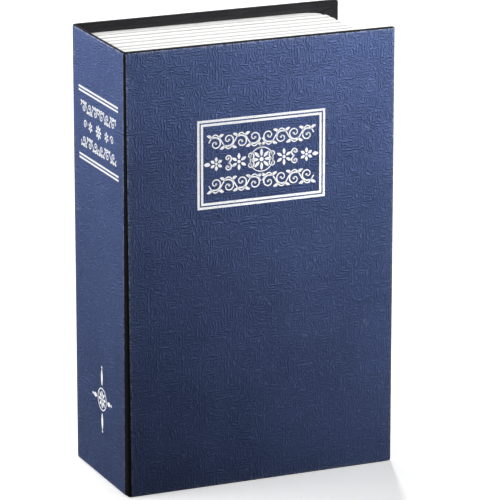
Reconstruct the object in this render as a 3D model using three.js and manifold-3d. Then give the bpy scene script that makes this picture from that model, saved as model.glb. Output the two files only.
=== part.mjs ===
// A book diversion safe: a cloth-jointed hard cover and a moulded page block round a small steel cash box.
// It stands on its tail edges, in millimetres. +Z runs from tail to head, -Y is the front cover's outer face
// and -X is the spine. The origin is the middle of the book's foot.
import * as THREE from "three";
import { mergeVertices } from "three/addons/utils/BufferGeometryUtils.js";
import Module from "manifold-3d";

const wasm = await Module();
wasm.setup();

// Case: boards, the paper outside them and the lining inside
const HEIGHT = 180;
const WIDTH = 115;
const DEPTH = 57;
const BOARD = 2.2;
const SPINE_BOARD = 1;
const PAPER = 0.4;
const LINING = 0.3;
const PAPER_MARGIN = 0.4; // dark turned edge left bare round the cover paper
const LINING_MARGIN = 2.5; // turned-in edge left bare round the lining
const BOARD_CORNER = 0.8;
const SPINE_FIT = 0.3; // edge of the spine board to a cover's inner face
const COVER_SETBACK = 1.8; // corner of the case to a cover board
const JOINT_CLOTH = 0.6;
const BUTT = 0.2; // gap where two sheets meet edge to edge

// Page block: one white moulding, hollow from behind, with the box's pocket through it
const SQUARE = 4; // the cover stands past the pages at head and tail
const FORE_EDGE_INSET = 7.5;
const FORE_EDGE_ROUND = 8; // the fore-edge draws in by this much at the back
const FORE_EDGE_ROUND_DEPTH = 8;
const SPINE_GAP = 0.2;
const COVER_GAP = 0.4;
const SHELL = 2.2;
const POCKET_WALL = 1.6;
const RIM_ENDS = 9.5; // the moulding's border at head and tail
const RIM_SPINE = 10.5;
const RIM_FORE_EDGE = 12;
const GROOVE_WIDTH = 2.8;
// Grooves between the moulded pages: share of the block's depth from the back, and how deep each is cut
const GROOVES = [
  [0.1, 0.4],
  [0.2, 0.7],
  [0.31, 0.4],
  [0.41, 0.55],
  [0.53, 0.45],
  [0.62, 0.35],
  [0.73, 0.95],
  [0.86, 0.95],
];

// Cash box: tray, lid and hinge
const BOX_FIT = 0.5; // tray to pocket, each side
const STEEL = 1.2;
const TRAY_CORNER = 2;
const LID_DROP = 4.6; // lid face below the page block's face
const LID_SEAT = 0.3;
const LIP = 5;
const LIP_GAP = 0.8; // lid lip to the tray wall or what stands on it
const LEAF = 1;
const BARREL = 1.7; // radius of the hinge knuckles
const PIN = 0.8; // radius
const PIN_FIT = 0.08;
const KNUCKLES = 5;
const KNUCKLE_GAP = 0.3;
const HINGE_END = 12; // tray end to hinge end
const LEAF_DROP = 9;
const LEAF_REACH = 11;

// Screws that hold the tray in the page block
const BOX_SCREW = 1.4; // shank radius
const BOX_SCREW_HEAD = 2.8;
const BOX_SCREW_HEAD_HEIGHT = 1.6;
const BOX_SCREW_LENGTH = 6;
const BOX_SCREW_SPREAD = 40; // between the two in one wall
const BOX_SCREW_FLOOR = 7; // off the tray's floor
const BOSS = 8; // width of the rib that a screw bites in
const SCREW_FIT = 0.15;

// Strike: a doubler riveted inside the tray's fore-edge wall, slotted for the bolt
const STRIKE = 1;
const STRIKE_LENGTH = 24;
const STRIKE_BELOW = 4; // past the bolt's window, into the box
const RIVET = 1; // shank radius
const RIVET_HEAD = 1.7;
const RIVET_HEAD_HEIGHT = 0.7;
const RIVET_INSET = 3;

// Three-wheel lock on the lid, wheels stacked along Z
const LOCK_FIT = 0.6; // housing to the lid's fore-edge lip
const LOCK_TAIL = 10; // bolt to the housing's tail wall
const LOCK_HEAD = 1.6; // last code ring to the screw bosses at the head
const BEZEL = 1.2;
const BEZEL_MARGIN = 1.4; // bezel past the housing
const BEZEL_CORNER = 2.5;
const HOUSING_WALL = 1.5;
const HOUSING_FACE = 1;
const LOCK_COVER = 1.2;
const DIAL = 8.5; // radius
const DIAL_WIDTH = 5.4;
const DIAL_PITCH = 8;
const DIAL_COUNT = 3;
const DIAL_FLUTE = 0.45;
const DIAL_FACES = 10; // one flute between each two numbers
const DIAL_PROUD = 1.4; // of the bezel
const DIAL_FIT = 0.4;
const FIRST_DIAL = 4; // lock's middle to the first wheel's middle
const AXLE = 1.2; // radius
const AXLE_FIT = 0.08;
const RING_WIDTH = 1.6;
const RING_NOTCH = 1;
const SPRING = 0.35;
const SPRING_GAP = 0.25;

// Bolt, the fence behind the wheels, and the knob that slides them
const THROW = 3.5;
const BOLT = 1.6; // thickness
const BOLT_WIDTH = 7;
const BOLT_FIT = 0.4;
const BOLT_PROUD = 0.2; // past the lid's lip when drawn back
const FENCE = 1.3;
const FENCE_FINGER = 0.9;
const KNOB_PLACE = 16; // lock's middle to the knob's middle
const KNOB_LENGTH = 10;
const KNOB_WIDTH = 9;
const KNOB_HEIGHT = 2.6;
const KNOB_LIFT = 0.3; // knob off the bezel
const KNOB_CORNER = 1.5;
const STEM_LENGTH = 5;
const STEM_WIDTH = 3;
const KNOB_GRIPS = 4;
const GRIP_DEPTH = 0.5;
const GRIP_MARGIN = 1.2; // end of a grip groove to the knob's end

// Screws that clamp the lock to the lid, and the lever that resets its code
const LOCK_SCREW = 1.1; // shank radius
const LOCK_SCREW_HEAD = 2;
const LOCK_SCREW_HEAD_HEIGHT = 1.2;
const LOCK_BOSS = 3.6;
const RESET_TRAVEL = 4;
const RESET_LENGTH = 6;
const RESET_WIDTH = 5;
const RESET_HEIGHT = 1.6;
const RESET_CORNER = 1;
const RESET_STEM = 2.4;
const RESET_FLANGE = 0.5;
const RESET_FIT = 0.3;
const RESET_END = 2; // lever at rest to the housing's tail wall

// Facets of round work
const ROUND = 24;
const SCREW_ROUND = 12;
const CORNER_STEPS = 4;

// Planes and edges that several pieces share
const LEFT = -WIDTH / 2;
const RIGHT = WIDTH / 2;
const FRONT = -DEPTH / 2;
const BACK = DEPTH / 2;
const COVER = PAPER + BOARD + LINING;
const SPINE = PAPER + SPINE_BOARD + LINING;
const SPINE_SETBACK = COVER + SPINE_FIT; // corner of the case to the spine board

const BLOCK = {
  x0: LEFT + SPINE + SPINE_GAP,
  x1: RIGHT - FORE_EDGE_INSET,
  y0: FRONT + COVER + COVER_GAP,
  y1: BACK - COVER,
  z0: SQUARE,
  z1: HEIGHT - SQUARE,
};
const POCKET = {
  x0: BLOCK.x0 + RIM_SPINE,
  x1: BLOCK.x1 - RIM_FORE_EDGE,
  z0: BLOCK.z0 + RIM_ENDS,
  z1: BLOCK.z1 - RIM_ENDS,
};
const LID_FACE = BLOCK.y0 + LID_DROP;
const LID_BACK = LID_FACE + STEEL;
const TRAY = {
  x0: POCKET.x0 + BOX_FIT,
  x1: POCKET.x1 - BOX_FIT,
  y0: LID_BACK + LID_SEAT,
  y1: BLOCK.y1,
  z0: POCKET.z0 + BOX_FIT,
  z1: POCKET.z1 - BOX_FIT,
};
const HINGE = {
  x: TRAY.x0 + STEEL + LEAF / 2,
  y: LID_FACE - LEAF / 2,
  z0: TRAY.z0 + HINGE_END,
  z1: TRAY.z1 - HINGE_END,
};
const LIP_X = TRAY.x1 - STEEL - STRIKE - RIVET_HEAD_HEIGHT - LIP_GAP;

const MIDDLE = HEIGHT / 2;
const BEZEL_FACE = LID_FACE - BEZEL;
const DIAL_Y = BEZEL_FACE - DIAL_PROUD + DIAL;
const BOLT_Y = DIAL_Y - BOLT / 2;
const BOLT_Z = MIDDLE - KNOB_PLACE;
const BOLT_TIP = LIP_X + BOLT_PROUD;
const DIAL_MIDDLES = Array.from({ length: DIAL_COUNT }, (_, i) => MIDDLE + FIRST_DIAL + i * DIAL_PITCH);
const LAST_RING = DIAL_MIDDLES[DIAL_COUNT - 1] + DIAL_WIDTH / 2 + RING_WIDTH;
const LOCK_X = LIP_X - STEEL - LOCK_FIT - HOUSING_WALL - BOLT_FIT - THROW - FENCE - DIAL_FIT - DIAL;
const FENCE_X = LOCK_X + DIAL + DIAL_FIT;
const CAVITY = {
  x0: LOCK_X - DIAL - SPRING_GAP - SPRING - BUTT,
  x1: FENCE_X + FENCE + THROW + BOLT_FIT,
  y0: LID_BACK + HOUSING_FACE,
  y1: DIAL_Y + DIAL + DIAL_FIT,
  z0: BOLT_Z - BOLT_WIDTH / 2 - LOCK_TAIL,
  z1: LAST_RING + LOCK_HEAD + LOCK_BOSS,
};
const HOUSING = {
  x0: CAVITY.x0 - HOUSING_WALL,
  x1: CAVITY.x1 + HOUSING_WALL,
  z0: CAVITY.z0 - HOUSING_WALL,
  z1: CAVITY.z1 + HOUSING_WALL,
};
const RING = DIAL_Y - CAVITY.y0 - DIAL_FIT; // radius of the code rings, behind the housing's face
const WEB_Z = MIDDLE + FIRST_DIAL - DIAL_WIDTH / 2 - DIAL_FIT;
const LOCK_CORNERS = [
  [CAVITY.x0 + LOCK_BOSS / 2, CAVITY.z0 + LOCK_BOSS / 2],
  [CAVITY.x1 - LOCK_BOSS / 2, CAVITY.z0 + LOCK_BOSS / 2],
  [CAVITY.x0 + LOCK_BOSS / 2, CAVITY.z1 - LOCK_BOSS / 2],
  [CAVITY.x1 - LOCK_BOSS / 2, CAVITY.z1 - LOCK_BOSS / 2],
];
const RESET_Z = CAVITY.z0 + RESET_END + RESET_LENGTH / 2;
const RESET_X = (CAVITY.x0 + CAVITY.x1) / 2;

// A closed geometry as a solid that can be joined and cut
function solid(geometry) {
  const bare = geometry.index ? geometry.toNonIndexed() : geometry.clone();
  bare.deleteAttribute("normal");
  bare.deleteAttribute("uv");
  const merged = mergeVertices(bare, 1e-4);
  const mesh = new wasm.Mesh({
    numProp: 3,
    vertProperties: merged.attributes.position.array,
    triVerts: new Uint32Array(merged.index.array),
  });
  return new wasm.Manifold(mesh);
}

// A solid as flat-shaded geometry
function shown(made) {
  const mesh = made.getMesh();
  const indexed = new THREE.BufferGeometry();
  indexed.setAttribute("position", new THREE.BufferAttribute(mesh.vertProperties, 3));
  indexed.setIndex(new THREE.BufferAttribute(mesh.triVerts, 1));
  const flat = indexed.toNonIndexed();
  flat.computeVertexNormals();
  return flat;
}

// The first geometry with each of the others cut from it
function cut(from, ...tools) {
  return shown(tools.reduce((made, tool) => made.subtract(solid(tool)), solid(from)));
}

// Several geometries joined into one body
function join(...pieces) {
  return shown(pieces.slice(1).reduce((made, piece) => made.add(solid(piece)), solid(pieces[0])));
}

// A straight-sided block between two planes on each axis
function block(x0, x1, y0, y1, z0, z1) {
  const geometry = new THREE.BoxGeometry(x1 - x0, y1 - y0, z1 - z0);
  return geometry.translate((x0 + x1) / 2, (y0 + y1) / 2, (z0 + z1) / 2);
}

// Points of a rectangle whose left and right corners may be round
function outline(x0, x1, z0, z1, left, right) {
  const corners = [
    [x1 - right, z0 + right, right, -90],
    [x1 - right, z1 - right, right, 0],
    [x0 + left, z1 - left, left, 90],
    [x0 + left, z0 + left, left, 180],
  ];
  const points = [];
  for (const [x, z, radius, from] of corners) {
    const steps = radius > 0 ? CORNER_STEPS : 0;
    for (let i = 0; i <= steps; i++) {
      const angle = THREE.MathUtils.degToRad(from + (steps ? (90 * i) / steps : 0));
      points.push(new THREE.Vector2(x + radius * Math.cos(angle), z + radius * Math.sin(angle)));
    }
  }
  return points;
}

// A plate that lies in XZ, with its thickness from y0 to y1
function plate(x0, x1, z0, z1, y0, y1, left = 0, right = left) {
  const shape = new THREE.Shape(outline(x0, x1, z0, z1, left, right));
  const geometry = new THREE.ExtrudeGeometry(shape, { depth: y1 - y0, bevelEnabled: false });
  return geometry.rotateX(Math.PI / 2).translate(0, y1, 0);
}

// A flat outline in XY carried straight up from z0 to z1
function upright(points, z0, z1) {
  const shape = new THREE.Shape(points);
  return new THREE.ExtrudeGeometry(shape, { depth: z1 - z0, bevelEnabled: false }).translate(0, 0, z0);
}

// Round bars along each axis
function barZ(radius, x, y, z0, z1, facets = ROUND) {
  const geometry = new THREE.CylinderGeometry(radius, radius, z1 - z0, facets);
  return geometry.rotateX(Math.PI / 2).translate(x, y, (z0 + z1) / 2);
}

function barY(radius, x, z, y0, y1, facets = ROUND) {
  return new THREE.CylinderGeometry(radius, radius, y1 - y0, facets).translate(x, (y0 + y1) / 2, z);
}

function barX(radius, y, z, x0, x1, facets = ROUND) {
  const geometry = new THREE.CylinderGeometry(radius, radius, x1 - x0, facets);
  return geometry.rotateZ(Math.PI / 2).translate((x0 + x1) / 2, y, z);
}

// A pan-head screw or rivet turned about Y: its head's seat is at the origin and its shank runs to +Y
function fastener(shank, length, head, headHeight) {
  const dome = headHeight * 0.45;
  const profile = [
    new THREE.Vector2(0, -headHeight),
    new THREE.Vector2(head * 0.6, -headHeight),
    new THREE.Vector2(head, -headHeight + dome),
    new THREE.Vector2(head, 0),
    new THREE.Vector2(shank, 0),
    new THREE.Vector2(shank, length - shank / 2),
    new THREE.Vector2(shank / 2, length),
    new THREE.Vector2(0, length),
  ];
  return new THREE.LatheGeometry(profile, SCREW_ROUND);
}

// A cross recess for a screw head, in the fastener's own frame
function crossRecess(head, headHeight) {
  const reach = head * 0.55;
  const half = head * 0.13;
  const deep = -headHeight * 0.45;
  const top = -headHeight - 1;
  return [
    block(-reach, reach, top, deep, -half, half),
    block(-half, half, top, deep, -reach, reach),
  ];
}

function screw(shank, length, head, headHeight) {
  return cut(fastener(shank, length, head, headHeight), ...crossRecess(head, headHeight));
}

const cover = (x0, x1, margin, y0, y1) =>
  plate(x0, x1 - margin, margin, HEIGHT - margin, y0, y1, 0, BOARD_CORNER);

// One cover board with its paper and lining; outward is -1 for the front and 1 for the back
function coverSheets(outward) {
  const outer = outward < 0 ? FRONT : BACK;
  const at = (near, far) => [outer - outward * near, outer - outward * far].sort((a, b) => a - b);
  const hinged = LEFT + COVER_SETBACK;
  return {
    board: cover(hinged, RIGHT, 0, ...at(PAPER, PAPER + BOARD)),
    paper: cover(hinged, RIGHT, PAPER_MARGIN, ...at(0, PAPER)),
    lining: cover(hinged, RIGHT, LINING_MARGIN, ...at(PAPER + BOARD, COVER)),
  };
}

// Sheets of the spine, between the two joints
function spineSheet(near, far, margin) {
  const y = DEPTH / 2 - SPINE_SETBACK;
  return block(LEFT + near, LEFT + far, -y, y, margin, HEIGHT - margin);
}

// Cloth joint: a quarter of an ellipse round the case's corner, from the spine board to the cover board
function jointCloth(outward) {
  const wide = COVER_SETBACK - BUTT;
  const deep = SPINE_SETBACK - BUTT;
  const steps = CORNER_STEPS * 2;
  const arc = (a, b) =>
    Array.from({ length: steps + 1 }, (_, i) => {
      const angle = (Math.PI / 2) * (i / steps);
      const x = LEFT + wide - a * Math.cos(angle);
      const y = outward * (DEPTH / 2 - deep + b * Math.sin(angle));
      return new THREE.Vector2(x, y);
    });
  const inside = arc(wide - JOINT_CLOTH, deep - JOINT_CLOTH).reverse();
  return upright([...arc(wide, deep), ...inside], 0, HEIGHT);
}

// How far the page grooves cut in at a depth y
function grooveAt(y) {
  let deepest = 0;
  for (const [share, depth] of GROOVES) {
    const middle = BLOCK.y1 - share * (BLOCK.y1 - BLOCK.y0);
    deepest = Math.max(deepest, depth * (1 - Math.abs(y - middle) / (GROOVE_WIDTH / 2)));
  }
  return deepest;
}

// How far the fore-edge draws in at a depth y: an ellipse's quarter at the back
function foreEdgeRound(y) {
  const into = Math.max(0, y - (BLOCK.y1 - FORE_EDGE_ROUND_DEPTH)) / FORE_EDGE_ROUND_DEPTH;
  return FORE_EDGE_ROUND * (1 - Math.sqrt(1 - into * into));
}

// The outside of the page block: one rectangle in XZ for each depth, joined into a closed body
function pageForm() {
  const depths = [BLOCK.y0, BLOCK.y1];
  for (const [share] of GROOVES) {
    const middle = BLOCK.y1 - share * (BLOCK.y1 - BLOCK.y0);
    depths.push(middle - GROOVE_WIDTH / 2, middle, middle + GROOVE_WIDTH / 2);
  }
  const roundSteps = 6;
  for (let i = 0; i < roundSteps; i++) {
    const angle = (Math.PI / 2) * (i / roundSteps);
    depths.push(BLOCK.y1 - FORE_EDGE_ROUND_DEPTH * (1 - Math.sin(angle)));
  }
  const inside = (y) => y >= BLOCK.y0 && y <= BLOCK.y1;
  const apart = (y, i, all) => i === 0 || y - all[i - 1] > 0.02;
  const levels = depths.filter(inside).sort((a, b) => a - b).filter(apart);

  const places = levels.flatMap((y) => {
    const groove = grooveAt(y);
    const x1 = BLOCK.x1 - foreEdgeRound(y) - groove;
    const z0 = BLOCK.z0 + groove;
    const z1 = BLOCK.z1 - groove;
    return [BLOCK.x0, y, z0, x1, y, z0, x1, y, z1, BLOCK.x0, y, z1];
  });
  const faces = [0, 1, 2, 0, 2, 3];
  for (let i = 0; i < levels.length - 1; i++) {
    for (let side = 0; side < 4; side++) {
      const a = i * 4 + side;
      const b = i * 4 + ((side + 1) % 4);
      faces.push(a, a + 4, b + 4, a, b + 4, b);
    }
  }
  const last = (levels.length - 1) * 4;
  faces.push(last, last + 2, last + 1, last, last + 3, last + 2);
  const geometry = new THREE.BufferGeometry();
  geometry.setAttribute("position", new THREE.Float32BufferAttribute(places, 3));
  geometry.setIndex(faces);
  return geometry;
}

// The hollow behind the moulding's face: a channel on all four sides, open to the back cover
function pageHollow() {
  const face = BLOCK.y0 + SHELL;
  const open = BLOCK.y1 + 1;
  const outer = BLOCK.x1 - SHELL;
  const z0 = BLOCK.z0 + SHELL;
  const z1 = BLOCK.z1 - SHELL;
  const points = [
    new THREE.Vector2(BLOCK.x0 + SHELL, face),
    new THREE.Vector2(outer, face),
    new THREE.Vector2(outer, BLOCK.y1 - FORE_EDGE_ROUND_DEPTH),
    new THREE.Vector2(outer - FORE_EDGE_ROUND, BLOCK.y1),
    new THREE.Vector2(outer - FORE_EDGE_ROUND, open),
    new THREE.Vector2(BLOCK.x0 + SHELL, open),
  ];
  const core = block(
    POCKET.x0 - POCKET_WALL,
    POCKET.x1 + POCKET_WALL,
    FRONT,
    open + 1,
    POCKET.z0 - POCKET_WALL,
    POCKET.z1 + POCKET_WALL,
  );
  return cut(upright(points, z0, z1), core);
}

// Where the four box screws stand: along X, and the tray wall that each goes through
const BOX_SCREW_Y = TRAY.y1 - STEEL - BOX_SCREW_FLOOR;
const BOX_SCREWS = [];
for (const tail of [true, false]) {
  for (const side of [-1, 1]) {
    BOX_SCREWS.push({ x: (TRAY.x0 + TRAY.x1) / 2 + (side * BOX_SCREW_SPREAD) / 2, tail });
  }
}

function pageBlock() {
  const pocket = block(POCKET.x0, POCKET.x1, FRONT, BACK, POCKET.z0, POCKET.z1);
  const bosses = BOX_SCREWS.map(({ x, tail }) => {
    const z = tail ? [BLOCK.z0 + SHELL - 0.5, POCKET.z0] : [POCKET.z1, BLOCK.z1 - SHELL + 0.5];
    return block(x - BOSS / 2, x + BOSS / 2, BLOCK.y0 + SHELL / 2, BLOCK.y1, ...z);
  });
  const holes = BOX_SCREWS.map(({ x, tail }) => {
    const deep = BOX_SCREW_LENGTH + SCREW_FIT - STEEL;
    const z = tail ? [TRAY.z0 - deep, TRAY.z0] : [TRAY.z1, TRAY.z1 + deep];
    return barZ(BOX_SCREW + SCREW_FIT, x, BOX_SCREW_Y, ...z, SCREW_ROUND);
  });
  const shell = cut(pageForm(), pageHollow());
  return cut(join(shell, ...bosses), pocket, ...holes);
}

// The window that the bolt passes through, cut from anything that stands across its way
function boltWindow(x0, x1) {
  const half = BOLT_WIDTH / 2 + BOLT_FIT;
  return block(x0, x1, BOLT_Y - BOLT_FIT, BOLT_Y + BOLT + BOLT_FIT, BOLT_Z - half, BOLT_Z + half);
}

const RIVETS = [-1, 1].map((side) => BOLT_Z + side * (STRIKE_LENGTH / 2 - RIVET_INSET));
const RIVET_Y = BOLT_Y + BOLT / 2;
const rivetHole = (z, x0, x1) => barX(RIVET + SCREW_FIT, RIVET_Y, z, x0, x1, SCREW_ROUND);

function boxTray() {
  const outer = plate(TRAY.x0, TRAY.x1, TRAY.z0, TRAY.z1, TRAY.y0, TRAY.y1, TRAY_CORNER);
  const inner = plate(
    TRAY.x0 + STEEL,
    TRAY.x1 - STEEL,
    TRAY.z0 + STEEL,
    TRAY.z1 - STEEL,
    TRAY.y0 - 1,
    TRAY.y1 - STEEL,
    Math.max(TRAY_CORNER - STEEL, 0.2),
  );
  const screwHoles = BOX_SCREWS.map(({ x, tail }) => {
    const z = tail ? [TRAY.z0 - 1, TRAY.z0 + STEEL + 1] : [TRAY.z1 - STEEL - 1, TRAY.z1 + 1];
    return barZ(BOX_SCREW + SCREW_FIT, x, BOX_SCREW_Y, ...z, SCREW_ROUND);
  });
  const rivetHoles = RIVETS.map((z) => rivetHole(z, TRAY.x1 - STEEL - 1, TRAY.x1 + 1));
  return cut(outer, inner, ...screwHoles, ...rivetHoles, boltWindow(TRAY.x1 - STEEL - 1, TRAY.x1 + 1));
}

function boxScrew({ x, tail }) {
  const geometry = screw(BOX_SCREW, BOX_SCREW_LENGTH, BOX_SCREW_HEAD, BOX_SCREW_HEAD_HEIGHT);
  const turned = geometry.rotateX(tail ? -Math.PI / 2 : Math.PI / 2);
  return turned.translate(x, BOX_SCREW_Y, tail ? TRAY.z0 + STEEL : TRAY.z1 - STEEL);
}

function strikePlate() {
  const x1 = TRAY.x1 - STEEL;
  const half = STRIKE_LENGTH / 2;
  const body = block(
    x1 - STRIKE,
    x1,
    TRAY.y0 + BUTT,
    BOLT_Y + BOLT + BOLT_FIT + STRIKE_BELOW,
    BOLT_Z - half,
    BOLT_Z + half,
  );
  const holes = RIVETS.map((z) => rivetHole(z, x1 - STRIKE - 1, x1 + 1));
  return cut(body, boltWindow(x1 - STRIKE - 1, x1 + 1), ...holes);
}

function strikeRivet(z) {
  const geometry = fastener(RIVET, STRIKE + STEEL, RIVET_HEAD, RIVET_HEAD_HEIGHT);
  return geometry.rotateZ(-Math.PI / 2).translate(TRAY.x1 - STEEL - STRIKE, RIVET_Y, z);
}

// Spans along Z of the hinge's knuckles; even ones belong to the tray's leaf
const KNUCKLE = (HINGE.z1 - HINGE.z0 - (KNUCKLES - 1) * KNUCKLE_GAP) / KNUCKLES;
function knuckles(odd) {
  const spans = [];
  for (let i = odd ? 1 : 0; i < KNUCKLES; i += 2) {
    const z0 = HINGE.z0 + i * (KNUCKLE + KNUCKLE_GAP);
    spans.push([z0, z0 + KNUCKLE]);
  }
  return spans;
}

// A leaf and its knuckles: the leaf is cut clear of the other leaf's knuckles, then all is bored for the pin
function hingeLeaf(leaf, odd) {
  const clear = knuckles(!odd).map(([z0, z1]) =>
    barZ(BARREL + KNUCKLE_GAP, HINGE.x, HINGE.y, z0 - KNUCKLE_GAP, z1 + KNUCKLE_GAP),
  );
  const barrels = knuckles(odd).map(([z0, z1]) => barZ(BARREL, HINGE.x, HINGE.y, z0, z1));
  const bore = barZ(PIN + PIN_FIT, HINGE.x, HINGE.y, HINGE.z0 - 1, HINGE.z1 + 1);
  return cut(join(cut(leaf, ...clear), ...barrels), bore);
}

const hingeLeafTray = () =>
  hingeLeaf(
    block(
      HINGE.x - LEAF / 2,
      HINGE.x + LEAF / 2,
      HINGE.y,
      TRAY.y0 + LEAF_DROP,
      HINGE.z0,
      HINGE.z1,
    ),
    false,
  );

const hingeLeafLid = () =>
  hingeLeaf(
    block(HINGE.x, HINGE.x + LEAF_REACH, HINGE.y - LEAF / 2, HINGE.y + LEAF / 2, HINGE.z0, HINGE.z1),
    true,
  );

const hingePin = () => barZ(PIN, HINGE.x, HINGE.y, HINGE.z0 - PIN, HINGE.z1 + PIN);

// Half-width of the opening that a wheel needs in a sheet whose inner face is at y
function windowHalf(y) {
  const off = DIAL_Y - y;
  return Math.sqrt(Math.max(DIAL * DIAL - off * off, 1)) + DIAL_FIT;
}

// The openings that a sheet of the lock needs: a window for each wheel and a slot for the knob's stem
function lockWindows(y0, y1) {
  const half = windowHalf(y1);
  const windows = DIAL_MIDDLES.map((z) => {
    const high = DIAL_WIDTH / 2 + DIAL_FIT;
    return block(LOCK_X - half, LOCK_X + half, y0 - 1, y1 + 1, z - high, z + high);
  });
  const stem = STEM_WIDTH / 2 + BOLT_FIT;
  const high = STEM_LENGTH / 2 + BOLT_FIT;
  const slot = block(LOCK_X - stem, LOCK_X + stem + THROW, y0 - 1, y1 + 1, BOLT_Z - high, BOLT_Z + high);
  return [...windows, slot];
}

const lockScrewHoles = (y0, y1) =>
  LOCK_CORNERS.map(([x, z]) => barY(LOCK_SCREW + SCREW_FIT, x, z, y0, y1, SCREW_ROUND));

function boxLid() {
  const x0 = HINGE.x + BARREL + KNUCKLE_GAP;
  const sheet = plate(x0, TRAY.x1, TRAY.z0, TRAY.z1, LID_FACE, LID_BACK, 0, TRAY_CORNER);
  const lipEnd = LID_BACK + LIP;
  const z0 = TRAY.z0 + STEEL + LIP_GAP;
  const z1 = TRAY.z1 - STEEL - LIP_GAP;
  const lips = [
    block(LIP_X - STEEL, LIP_X, LID_BACK - STEEL / 2, lipEnd, z0, z1),
    block(x0, LIP_X, LID_BACK - STEEL / 2, lipEnd, z0, z0 + STEEL),
    block(x0, LIP_X, LID_BACK - STEEL / 2, lipEnd, z1 - STEEL, z1),
  ];
  return cut(
    join(sheet, ...lips),
    ...lockWindows(LID_FACE, LID_BACK),
    ...lockScrewHoles(LID_FACE - 1, LID_BACK + 1),
    boltWindow(LIP_X - STEEL - 1, LIP_X + 1),
  );
}

// Depth that a lock screw reaches into the bezel
const SCREW_TIP = LID_FACE - BEZEL / 2;

function lockBezel() {
  const sheet = plate(
    HOUSING.x0 - BEZEL_MARGIN,
    HOUSING.x1 + BEZEL_MARGIN,
    HOUSING.z0 - BEZEL_MARGIN,
    HOUSING.z1 + BEZEL_MARGIN,
    BEZEL_FACE,
    LID_FACE,
    BEZEL_CORNER,
  );
  const screwHoles = lockScrewHoles(SCREW_TIP - SCREW_FIT, LID_FACE + 1);
  return cut(sheet, ...lockWindows(BEZEL_FACE, LID_FACE), ...screwHoles);
}

function lockHousing() {
  const outer = block(HOUSING.x0, HOUSING.x1, LID_BACK, CAVITY.y1, HOUSING.z0, HOUSING.z1);
  const cavity = block(CAVITY.x0, CAVITY.x1, CAVITY.y0, CAVITY.y1 + 1, CAVITY.z0, CAVITY.z1);
  const bosses = LOCK_CORNERS.map(([x, z]) => {
    const half = LOCK_BOSS / 2 + BUTT;
    return block(x - half, x + half, CAVITY.y0 - 0.5, CAVITY.y1, z - half, z + half);
  });
  const web = block(
    CAVITY.x0 - 0.5,
    FENCE_X - DIAL_FIT,
    CAVITY.y0 - 0.5,
    CAVITY.y1,
    WEB_Z - HOUSING_WALL,
    WEB_Z,
  );
  const axleHole = barZ(AXLE + AXLE_FIT, LOCK_X, DIAL_Y, WEB_Z - HOUSING_WALL - 1, HOUSING.z1 + 1);
  return cut(
    join(cut(outer, cavity), ...bosses, web),
    ...lockWindows(LID_BACK, CAVITY.y0),
    ...lockScrewHoles(LID_BACK - 1, CAVITY.y1 + 1),
    boltWindow(CAVITY.x1 - 1, HOUSING.x1 + 1),
    axleHole,
  );
}

function lockCover() {
  const y0 = CAVITY.y1;
  const y1 = y0 + LOCK_COVER;
  const sheet = block(HOUSING.x0, HOUSING.x1, y0, y1, HOUSING.z0, HOUSING.z1);
  const half = RESET_STEM / 2 + RESET_FIT;
  const slot = block(
    RESET_X - half,
    RESET_X + half,
    y0 - 1,
    y1 + 1,
    RESET_Z - half,
    RESET_Z + half + RESET_TRAVEL,
  );
  return cut(sheet, slot, ...lockScrewHoles(y0 - 1, y1 + 1));
}

// A numbered wheel: a drum with a shallow flute between each two numbers
function dial(z) {
  const around = DIAL_FACES * 4;
  const points = Array.from({ length: around }, (_, i) => {
    const radius = i % 4 === 0 ? DIAL - DIAL_FLUTE : DIAL;
    const angle = ((i - 2) / around) * Math.PI * 2 - Math.PI / 2;
    return new THREE.Vector2(LOCK_X + radius * Math.cos(angle), DIAL_Y + radius * Math.sin(angle));
  });
  const z0 = z - DIAL_WIDTH / 2;
  const z1 = z + DIAL_WIDTH / 2;
  return cut(upright(points, z0, z1), barZ(AXLE + AXLE_FIT, LOCK_X, DIAL_Y, z0 - 1, z1 + 1));
}

// The ring beside a wheel that lets the fence drop in when its notch comes round
function codeRing(z) {
  const z0 = z + DIAL_WIDTH / 2;
  const z1 = z0 + RING_WIDTH;
  const edge = LOCK_X - RING;
  const notch = block(edge, edge + RING_NOTCH, DIAL_Y - RING, DIAL_Y + RING, z0 - 1, z1 + 1);
  const bore = barZ(AXLE + AXLE_FIT, LOCK_X, DIAL_Y, z0 - 1, z1 + 1);
  return cut(barZ(RING, LOCK_X, DIAL_Y, z0, z1), notch, bore);
}

const dialAxle = () => barZ(AXLE, LOCK_X, DIAL_Y, WEB_Z - HOUSING_WALL, HOUSING.z1);

// A comb of flat springs that click into the wheels' flutes
function detentSpring() {
  const x1 = LOCK_X - DIAL - SPRING_GAP;
  const x0 = x1 - SPRING;
  const z0 = DIAL_MIDDLES[0] - DIAL_WIDTH / 2;
  const z1 = DIAL_MIDDLES[DIAL_COUNT - 1] + DIAL_WIDTH / 2;
  const back = block(x0, x1, DIAL_Y + DIAL / 2, CAVITY.y1 - BUTT, z0, z1);
  const fingers = DIAL_MIDDLES.map((z) =>
    block(x0, x1, DIAL_Y - DIAL / 4, DIAL_Y + DIAL / 2 + 0.5, z - DIAL_WIDTH / 3, z + DIAL_WIDTH / 3),
  );
  return join(back, ...fingers);
}

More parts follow.
